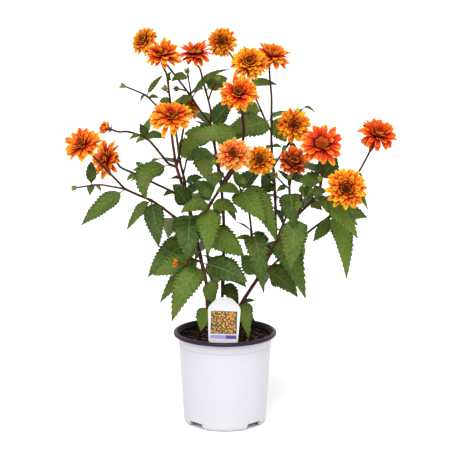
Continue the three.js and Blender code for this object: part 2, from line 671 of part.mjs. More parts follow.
function leafyStem(stem) {
  const own = shoots.filter((shoot) => shoot.stem === stem);
  const pieces = [];
  for (const shoot of own) {
    const line = stemLine(shootCurve(shoot));
    pieces.push(stemTube(line, shoot.thick));
    if (shoot.end === 'bud') pieces.push(budShape(line.at(-1)));
    if (shoot.end.startsWith('bloom')) {
      pieces.push(calyxCup(blooms.find(({ name }) => shoot.end === `bloom_${name}`)));
    }
    for (const leaf of leaves.filter(([name]) => name === shoot.name)) {
      pieces.push(leafBlade(leaf, onStem(line, ...leaf[1])));
    }
  }
  return named(`stem_${stem}`, fused(pieces), looks.foliage);
}

// One layer's petal: four root corners on the core, a keeled middle and a narrower tip.
function petalSections(angle, root, layer, bloom, spread) {
  const lift = THREE.MathUtils.degToRad(
    (bloom.layers === 3 ? bloomShape.lifts : bloomShape.budLifts)[layer] + spread.lift);
  const end = lift - THREE.MathUtils.degToRad(bloomShape.droop[layer]);
  const reach = bloom.radius - coreRadius(bloom);
  const length = reach * bloomShape.lengths[layer] * spread.length;
  const away = vec(Math.cos(angle), Math.sin(angle), 0);
  const out = (rise) => away.clone().multiplyScalar(Math.cos(rise)).setZ(Math.sin(rise));
  const across = vec(-Math.sin(angle), Math.cos(angle), 0);
  const first = root.clone().addScaledVector(out(lift), length * bloomShape.middle);
  const last = first.clone().addScaledVector(out(end), length * (1 - bloomShape.middle));
  const half = bloom.radius * bloomShape.widths[layer] * bloomShape.halfWidth;
  const section = (centre, rise, width, keel) => {
    const down = out(rise - Math.PI / 2);
    return [
      centre.clone().addScaledVector(across, -width),
      centre.clone().addScaledVector(across, width),
      centre.clone().addScaledVector(down, keel),
    ];
  };
  return [
    ...section(first, lift, half, bloomShape.keel),
    ...section(last, end, half * bloomShape.tipWidth, bloomShape.tipKeel),
  ];
}

// A bloom about +Z with its disc's seat at the origin: a low core, and on each of its rows a layer of
// petals, every layer standing steeper than the one outside it.
function bloomPetals(bloom) {
  const random = seeded(bloomShape.seed + Number(bloom.name) * bloomShape.seedStep);
  const jitter = (size) => (random() - 0.5) * 2 * size;
  const columns = (bloom.layers === 3 ? bloomShape.columns : bloomShape.budColumns) * 2;
  const radius = coreRadius(bloom);
  const turn = random() * Math.PI;
  const angleOf = (column) => turn + (column / columns) * 2 * Math.PI;
  const points = [];
  for (let row = 0; row <= bloom.layers; row++) {
    const level = (row - bloom.layers) * bloomShape.rowHeight;
    for (let column = 0; column < columns; column++) {
      const angle = angleOf(column);
      points.push(vec(radius * Math.cos(angle), radius * Math.sin(angle), level));
    }
  }
  const faces = [];
  for (let row = 0; row < bloom.layers; row++) {
    for (let column = 0; column < columns; column++) {
      const next = (column + 1) % columns;
      const a = row * columns + column;
      const b = row * columns + next;
      const c = b + columns;
      const d = a + columns;
      if ((column + row) % 2) {
        faces.push([a, b, c], [a, c, d]);
        continue;
      }
      const angle = angleOf(column + 0.5);
      const level = (row + 0.5 - bloom.layers) * bloomShape.rowHeight;
      const base = vec(radius * Math.cos(angle), radius * Math.sin(angle), level);
      const spread = {
        lift: jitter(bloomShape.unevenLift),
        length: 1 - random() * bloomShape.unevenLength,
      };
      const first = points.length;
      points.push(...petalSections(angle + jitter(bloomShape.unevenTurn), base, row, bloom, spread));
      const [l, r, k, tl, tr, tk] = [0, 1, 2, 3, 4, 5].map((n) => first + n);
      faces.push([d, r, c], [d, l, r], [a, l, d], [a, k, l], [b, c, r], [b, r, k], [a, b, k]);
      faces.push([l, tr, r], [l, tl, tr], [k, tl, l], [k, tk, tl], [r, tr, tk], [r, tk, k], [tl, tk, tr]);
    }
  }
  const top = bloom.layers * columns;
  for (let column = 1; column + 1 < columns; column++) {
    faces.push([0, column + 1, column], [top, top + column, top + column + 1]);
  }
  return meshFrom(points, faces);
}

function latheOf(outline, sides) {
  const geometry = new THREE.LatheGeometry(outline.map(([r, z]) => new THREE.Vector2(r, z)), sides);
  return geometry.rotateX(Math.PI / 2);
}

function bloomDisc({ disc }) {
  const height = disc * discShape.height;
  const outline = [
    [0, gap],
    [disc, gap],
    [disc * discShape.shoulder, gap + height * discShape.shoulderHeight],
    [0, gap + height],
  ];
  return fromSolid(toSolid(latheOf(outline, discShape.sides)));
}

function bloomHead(bloom) {
  const head = new THREE.Group();
  head.position.copy(placed(bloom.at));
  head.quaternion.setFromUnitVectors(up, bloomAxis(bloom));
  head.add(named(`bloom_${bloom.name}_petals`, bloomPetals(bloom), looks.petals));
  if (bloom.layers === 3) head.add(named(`bloom_${bloom.name}_disc`, bloomDisc(bloom), looks.disc));
  return head;
}

// The pot's outside radius at a height, between its foot and the lip.
function potRadius(level) {
  return THREE.MathUtils.mapLinear(level, 0, pot.height - pot.lipHeight, pot.baseRadius, pot.topRadius);
}

function potBody() {
  const lipFoot = pot.height - pot.lipHeight;
  const bandFoot = lipFoot - pot.bandHeight;
  const inside = (level) => potRadius(level) - pot.wall;
  const footInside = pot.baseRadius - pot.footWidth;
  const floorTop = pot.footHeight + pot.floorThickness;
  const outline = [
    [0, pot.footHeight],
    [footInside, pot.footHeight],
    [footInside, 0],
    [pot.baseRadius - pot.edgeBevel, 0],
    [potRadius(pot.cornerRadius), pot.cornerRadius],
    [potRadius(bandFoot) - pot.bandStep, bandFoot],
    [potRadius(bandFoot + 1), bandFoot + 1],
    [potRadius(lipFoot), lipFoot],
    [pot.lipRadius - pot.edgeBevel, lipFoot],
    [pot.lipRadius, lipFoot + pot.edgeBevel],
    [pot.lipRadius, pot.height - pot.lipBevel],
    [pot.lipRadius - pot.lipBevel, pot.height],
    [pot.lipInside + pot.edgeBevel, pot.height],
    [inside(pot.height - pot.lipMeetsWall), pot.height - pot.lipMeetsWall],
    [inside(floorTop), floorTop],
    [0, floorTop],
  ];
  let body = toSolid(latheOf(outline, pot.sides));
  for (let quarter = 0; quarter < 4; quarter++) {
    const middle = Math.PI / 4 + (quarter * Math.PI) / 2;
    const half = (degrees) => pot.baseRadius * Math.tan(THREE.MathUtils.degToRad(degrees));
    const notch = new THREE.Shape([
      new THREE.Vector2(-half(pot.notchHalfAngle), -1),
      new THREE.Vector2(half(pot.notchHalfAngle), -1),
      new THREE.Vector2(half(pot.notchTopHalfAngle), pot.footHeight),
      new THREE.Vector2(-half(pot.notchTopHalfAngle), pot.footHeight),
    ]);
    const cutter = new THREE.ExtrudeGeometry(notch, { depth: pot.footWidth * 4, bevelEnabled: false });
    cutter.rotateX(Math.PI / 2);
    cutter.rotateZ(Math.PI / 2);
    cutter.translate(pot.baseRadius - pot.footWidth * 2, 0, 0);
    cutter.rotateZ(middle);
    body = body.subtract(toSolid(cutter));
  }
  return named('pot', fromSolid(body), looks.pot);
}

function holeFor(x, y, radius, foot) {
  const tall = soil.middleLevel + root.holeAbove - foot;
  const hole = new THREE.CylinderGeometry(radius, radius, tall, root.sides);
  hole.rotateX(Math.PI / 2);
  return toSolid(hole.translate(x, y, foot + tall / 2));
}

function tagPlace() {
  const place = new THREE.Matrix4().makeRotationFromEuler(new THREE.Euler(
    -THREE.MathUtils.degToRad(tag.leanBack), THREE.MathUtils.degToRad(tag.tiltRight), 0));
  return place.setPosition(tag.at[0], tag.at[1], tag.bottomLevel);
}

// The tag's outline in its own plane, with +Y up it and its stake below zero.
function tagShape(extra) {
  const half = tag.width / 2;
  const low = tag.bottomWidth / 2;
  const stake = tag.stakeWidth / 2 + extra;
  const shape = new THREE.Shape();
  shape.moveTo(-stake, -tag.stakeDepth - extra);
  shape.lineTo(stake, -tag.stakeDepth - extra);
  shape.lineTo(stake, 0);
  shape.lineTo(low - tag.corner, 0);
  shape.lineTo(low, tag.corner);
  shape.lineTo(half, tag.height - tag.shoulder);
  const [inner, outer] = [half * 0.4, half * 0.66];
  const [eave, brow, cheek] = [tag.crown, 4, 6].map((drop) => tag.height - drop);
  shape.bezierCurveTo(half, cheek, outer, brow, inner, eave);
  shape.quadraticCurveTo(0, tag.height + tag.crown, -inner, eave);
  shape.bezierCurveTo(-outer, brow, -half, cheek, -half, tag.height - tag.shoulder);
  shape.lineTo(-low, tag.corner);
  shape.lineTo(-low + tag.corner, 0);
  shape.lineTo(-stake, 0);
  return shape;
}

function tagPlate(extra) {
  const depth = tag.thickness + extra * 2;
  const settings = { depth, bevelEnabled: false, curveSegments: 5 };
  const plate = new THREE.ExtrudeGeometry(tagShape(extra), settings);
  plate.translate(0, 0, -depth / 2).rotateX(Math.PI / 2);
  return plate.applyMatrix4(tagPlace());
}

function soilBody() {
  const bottom = pot.footHeight + pot.floorThickness + gap;
  const edge = (level) => potRadius(level) - pot.wall - soil.wallClearance;
  const outline = [
    [0, bottom],
    [edge(bottom), bottom],
    [edge(soil.edgeLevel), soil.edgeLevel],
    [edge(soil.edgeLevel) * soil.crownAt,
      THREE.MathUtils.lerp(soil.edgeLevel, soil.middleLevel, soil.crownShare)],
    [0, soil.middleLevel],
  ];
  let body = toSolid(latheOf(outline, soil.sides));
  for (const shoot of shoots.filter(({ route }) => route[0][1] > view.rootLine)) {
    const at = placed(shoot.route[0]);
    const foot = soil.edgeLevel - root.depth - gap;
    body = body.subtract(holeFor(at.x, at.y, shoot.thick[0] + root.clearance, foot));
  }
  body = body.subtract(toSolid(tagPlate(gap)));
  return named('soil', fromSolid(body), looks.soil);
}

const plant = new THREE.Group();
for (const stem of new Set(shoots.map((shoot) => shoot.stem))) plant.add(leafyStem(stem));
for (const bloom of blooms) plant.add(bloomHead(bloom));

const pottedPerennial = new THREE.Group();
pottedPerennial.add(potBody(), soilBody(), named('tag', bare(tagPlate(0)), looks.tag), plant);

const box = new THREE.Box3().setFromObject(pottedPerennial, true);
pottedPerennial.position.set(-(box.min.x + box.max.x) / 2, -(box.min.y + box.max.y) / 2, 0);

export default pottedPerennial;
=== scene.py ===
import math
import random
import bmesh
import bpy
from mathutils import Euler, Matrix, Quaternion, Vector, noise


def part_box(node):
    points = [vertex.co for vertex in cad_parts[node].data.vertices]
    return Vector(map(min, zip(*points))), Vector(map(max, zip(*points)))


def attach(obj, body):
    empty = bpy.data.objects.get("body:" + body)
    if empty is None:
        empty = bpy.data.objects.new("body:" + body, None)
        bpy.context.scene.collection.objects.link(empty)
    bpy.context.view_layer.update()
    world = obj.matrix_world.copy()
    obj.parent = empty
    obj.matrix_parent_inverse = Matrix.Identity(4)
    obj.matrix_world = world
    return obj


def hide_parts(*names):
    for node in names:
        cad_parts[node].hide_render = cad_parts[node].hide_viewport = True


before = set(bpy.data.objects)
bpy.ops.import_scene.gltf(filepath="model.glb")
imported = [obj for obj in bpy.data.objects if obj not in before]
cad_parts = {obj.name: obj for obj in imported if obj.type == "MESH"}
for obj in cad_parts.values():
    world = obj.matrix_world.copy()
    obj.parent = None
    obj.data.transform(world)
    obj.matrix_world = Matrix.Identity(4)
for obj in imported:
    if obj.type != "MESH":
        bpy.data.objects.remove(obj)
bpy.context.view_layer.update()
print("frame loaded with", len(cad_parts), "nodes")

mm = 0.001
up = Vector((0, 0, 1))
toViewer = Vector((0, -1, 0))
potLow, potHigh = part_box("pot")
potMiddle = Vector(((potLow.x + potHigh.x) / 2, (potLow.y + potHigh.y) / 2, 0))

# the camera that the photograph was taken with, measured from the middle of the pot's foot;
# sizes in mm, the focal length in pixels of a 450 by 450 frame
view = {
    "distance": 2300,
    "height": 746.5,
    "pitch": math.radians(10.5),
    "focal": 1480,
    "middle": 225,
    "frame": 450,
    "sensor": 36,
    "rootLine": 325,  # a shoot that starts below this row is rooted in the mix
}

# the plant's layout, the same as the solids': each place is (across, down, depth), with across and
# down in the photograph's frame and depth in mm behind the pot's middle
# bloom: name, where its disc sits, reach and disc in mm, turn and lift in degrees, and its form
blooms = [
    ("01", (142.6, 39.6, 52), 27, -42, 28, 5.0, "dense"),
    ("02", (163, 52.6, -15), 33, 12, 62, 5.0, "cupped"),
    ("03", (195.3, 51.8, 45), 32, -8, 70, 5.0, "redCupped"),
    ("04", (222.2, 41.4, 98), 27, -5, 16, 5.5, "dense"),
    ("05", (249.6, 61.2, 0), 32, 4, 34, 5.0, "dense"),
    ("06", (273, 54.6, 75), 34, 30, 62, 5.0, "cupped"),
    ("07", (238.3, 91.5, -54), 36, 0, 40, 5.0, "open"),
    ("08", (171, 114.5, -57), 38, 0, 50, 4.5, "full"),
    ("09", (190.0, 106.0, 54), 25, 60, 35, 5.0, "dense"),
    ("10", (294.2, 124.6, 30), 31, 4, 20, 6.0, "dense"),
    ("11", (81.2, 143.4, -45), 35, -32, 40, 5.0, "open"),
    ("12", (105, 158.6, 39), 36, -50, 16, 4.5, "open"),
    ("13", (378.6, 133.4, 33), 35, 12, 52, 5.0, "redCupped"),
    ("14", (322, 143.4, -78), 39, 0, 36, 9.5, "ember"),
    ("15", (346.7, 188.6, -93), 35, 0, 12, 7.0, "dense"),
    ("16", (233.8, 153.2, -114), 31, 0, 30, 5.5, "peach"),
    ("17", (260.2, 159.8, -54), 26, 2, 20, 7.0, "dense"),
    ("18", (293.8, 160.4, 3), 30, 14, 52, 7.0, "rusty"),
    ("19", (106.8, 128, 6), 20, -70, 20, 3.6, "bud"),
    ("20", (175.9, 263.0, -81), 10, -70, 10, 3.0, "bud"),
]
# shoot: name, stem, its radius in mm at its start and end, what it ends in, and its route
shoots = [
    ("left_main", "left", (2.6, 2.0), "plain", [
        (214, 328.5, 9), (208, 292, 15), (200, 255, 15), (193, 225, 8), (186.5, 197.5, 0),
        (181, 181, -8), (176.4, 167, -15)
    ]),
    ("left_to_08", "left", (1.8, 1.4), "bloom_08", [
        (176.4, 167, -15), (173.6, 149, -24), (171.6, 133, -30)
    ]),
    ("left_to_19", "left", (1.7, 1.1), "bloom_19", [
        (176.4, 167, -15), (168.5, 163.5, -12), (162.5, 156.4, -9), (155, 147, -6), (149.1, 140.6, -3),
        (143.7, 137.3, 0), (137, 134.2, 3), (127, 131.6, 4)
    ]),
    ("left_to_09", "left", (1.5, 1.1), "bloom_09", [
        (176.4, 167, -15), (179.5, 152, -3), (182.1, 136.5, 15), (184, 124, 30)
    ]),
    ("left_to_02", "left", (1.7, 1.1), "bloom_02", [
        (186.5, 197.5, 0), (184.2, 179, 12), (179.7, 160.2, 21), (176.8, 138, 24), (172.5, 115, 21),
        (169.4, 95, 9), (166.5, 74, -9)
    ]),
    ("left_twig", "left", (1.1, 0.9), "bud", [
        (183.2, 174.5, 14), (185.3, 166, 15), (187, 158, 16)
    ]),
    ("left_to_12", "left", (1.6, 1.2), "bloom_12", [
        (188, 203, 2), (172.1, 191.8, 18), (155, 183.5, 27), (137, 174.5, 36), (121, 167.5, 39)
    ]),
    ("left_side_twig", "left", (1.0, 0.8), "bud", [
        (146, 179, 32), (143, 172, 24), (140.8, 166.5, 18)
    ]),
    ("left_low", "left", (2.0, 1.5), "plain", [
        (196.5, 239, 12), (186, 226.5, 0), (174, 216.7, -12), (162, 207.5, -20), (151, 200.4, -24),
        (137, 194.5, -27), (125, 189, -30)
    ]),
    ("left_to_11", "left", (1.4, 1.1), "bloom_11", [
        (125, 189, -30), (112, 175.5, -32), (99, 162, -33)
    ]),
    ("left_far_bud", "left", (1.2, 0.9), "bud", [
        (125, 189, -30), (112, 186.6, -27), (100, 184.8, -24), (86, 186.3, -21), (76, 187.6, -18)
    ]),
    ("left_high_bud", "left", (1.2, 0.9), "bud", [
        (172.2, 113.5, 20), (161, 109, 30), (154.4, 103.6, 36), (146.3, 95.8, 42), (134, 90, 45),
        (124.5, 86.3, 48)
    ]),
    ("left_near_bud", "left", (0.9, 0.8), "bud", [
        (169.1, 93.5, 8), (167.2, 91.5, -3), (165.6, 89.5, -9)
    ]),
    ("centre_main", "centre", (2.4, 1.7), "plain", [
        (222, 328.5, 33), (222.3, 297, 33), (223.4, 262, 32), (224, 231, 30), (222.8, 205, 30),
        (221, 185, 33), (217, 160, 40), (213.3, 138, 46), (210.5, 124, 50)
    ]),
    ("centre_to_01", "centre", (1.4, 1.0), "bloom_01", [
        (210.5, 124, 50), (200, 110, 51), (187, 91, 52), (176, 76.5, 52), (167, 65, 51),
        (156, 51.5, 54)
    ]),
    ("centre_to_03", "centre", (1.4, 1.0), "bloom_03", [
        (210.5, 124, 50), (210.8, 112, 51), (207.5, 97, 50), (203, 81, 48), (199.6, 68, 46)
    ]),
    ("centre_to_07", "centre", (2.0, 1.5), "bloom_07", [
        (221, 185, 33), (230, 171, 15), (239, 153, -9), (243.6, 136, -21), (243, 120, -28),
        (241.6, 108, -33)
    ]),
    ("centre_red_bud", "centre", (1.0, 0.9), "bud", [
        (187, 91, 52), (182, 89.6, 50), (178, 88.9, 46)
    ]),
    ("centre_high_bud", "centre", (1.0, 0.8), "bud", [
        (191.5, 97.5, 52), (190, 88, 45), (187.6, 73, 39)
    ]),
    ("centre_mid_bud", "centre", (1.0, 0.8), "bud", [
        (208.3, 101, 50), (212, 90, 44), (217, 80, 38)
    ]),
    ("front_main", "front", (2.0, 1.7), "plain", [
        (217.5, 328.5, -9), (213, 290, -14), (207, 250, -21), (205, 225, -28), (206.5, 212, -34),
        (210.4, 204, -40), (217, 193.7, -51), (226.4, 181.3, -62)
    ]),
    ("front_to_16", "front", (1.5, 1.3), "bloom_16", [
        (226.4, 181.3, -62), (231, 174.5, -69), (234, 168, -78)
    ]),
    ("front_bud", "front", (1.1, 0.9), "bud", [
        (226.4, 181.3, -62), (220, 171, -69), (215.2, 163.5, -75)
    ]),
    ("low_main", "low", (1.8, 1.4), "plain", [
        (210, 328.5, -36), (206.5, 300, -42), (205.6, 277, -46), (203.5, 268.5, -50),
        (200.5, 261.7, -52)
    ]),
    ("low_to_20", "low", (1.1, 0.9), "bloom_20", [
        (200.5, 261.7, -52), (195, 259.6, -62), (188.5, 259.8, -70)
    ]),
    ("right_main", "right", (2.8, 2.3), "plain", [
        (236.5, 328.5, -6), (241.4, 304.4, -8), (250, 290, -9), (258.5, 277, -10), (268.8, 256.3, -12),
        (276.2, 242, -12)
    ]),
    ("right_tall", "right", (1.8, 1.1), "bloom_06", [
        (276.2, 242, -12), (275.6, 222, 3), (275.4, 204, 14), (274.1, 178, 27), (271.6, 146, 40),
        (271.4, 119, 52), (271.5, 96, 63), (269.8, 78, 72)
    ]),
    ("right_inner", "right", (1.5, 1.1), "bloom_18", [
        (276.2, 242, -12), (281, 229, -12), (286.2, 216.5, -9), (289.6, 203, -6), (289.5, 188, -4),
        (291, 176, -3)
    ]),
    ("right_outer", "right", (1.9, 1.5), "plain", [
        (276.2, 242, -12), (285.4, 229.8, -27), (297, 215.7, -42), (306, 207, -50),
        (315.2, 197.8, -54), (322, 192.8, -54)
    ]),
    ("right_to_13", "right", (1.4, 1.1), "bloom_13", [
        (322, 192.8, -54), (332, 188, -42), (345, 181.5, -18), (357.6, 173, 3), (366.5, 158, 15),
        (372.5, 146, 21)
    ]),
    ("right_to_14", "right", (1.5, 1.2), "bloom_14", [
        (319, 195.2, -54), (320.4, 186, -58), (321.8, 173, -60)
    ]),
    ("right_low", "right", (1.7, 1.3), "plain", [
        (259, 276, -10), (264.5, 272.6, -4), (270.4, 267.5, 2), (278.7, 259.6, 9), (294, 245, 18),
        (310.2, 230.6, 22), (321, 222.5, 20), (331, 215.5, 9)
    ]),
    ("right_to_15", "right", (1.4, 1.2), "bloom_15", [
        (331, 215.5, 9), (338, 206, -12), (343, 198, -38)
    ]),
    ("right_to_04", "right", (1.2, 1.0), "bloom_04", [
        (270.9, 131, 47), (266, 121.6, 56), (253.6, 94, 74), (241, 72, 86), (233.5, 59, 96)
    ]),
    ("right_to_05", "right", (1.1, 1.0), "bloom_05", [
        (253.6, 94, 74), (252.6, 84, 54), (251.8, 76, 33)
    ]),
    ("right_to_10", "right", (1.3, 1.1), "bloom_10", [
        (273.2, 167, 32), (278.6, 158.6, 36), (284, 150.5, 40), (289.5, 141.8, 45)
    ]),
    ("right_to_17", "right", (1.2, 1.0), "bloom_17", [
        (274.4, 184, 24), (270, 177.5, 9), (265, 171, -9)
    ]),
    ("right_red_bud", "right", (1.0, 0.9), "bud", [
        (289.5, 189, -4), (284, 184.5, -12), (276.5, 176.5, -21)
    ]),
    ("right_inner_bud", "right", (0.9, 0.8), "bud", [
        (289.5, 186.5, -4), (288.3, 183, -12), (289, 178.6, -9)
    ]),
    ("right_front_bud", "right", (0.9, 0.8), "bud", [
        (320.9, 182.5, -59), (321.8, 181.5, -72), (320.4, 179.6, -84)
    ]),
    ("right_mid", "right", (1.5, 1.2), "plain", [
        (263, 268, -11), (257.5, 256, -18), (254.5, 247, -22), (252.2, 238.5, -27), (250, 218.6, -32),
        (247, 203, -36), (240.5, 189.5, -42)
    ]),
    ("right_mid_bud", "right", (0.9, 0.8), "bud", [
        (240.5, 189.5, -42), (239.5, 185.5, -52), (241.6, 182.4, -62)
    ]),
    ("right_cluster", "right", (1.1, 0.9), "plain", [
        (298.3, 214.4, -43), (300.3, 204, -51), (301.5, 194.5, -56)
    ]),
]
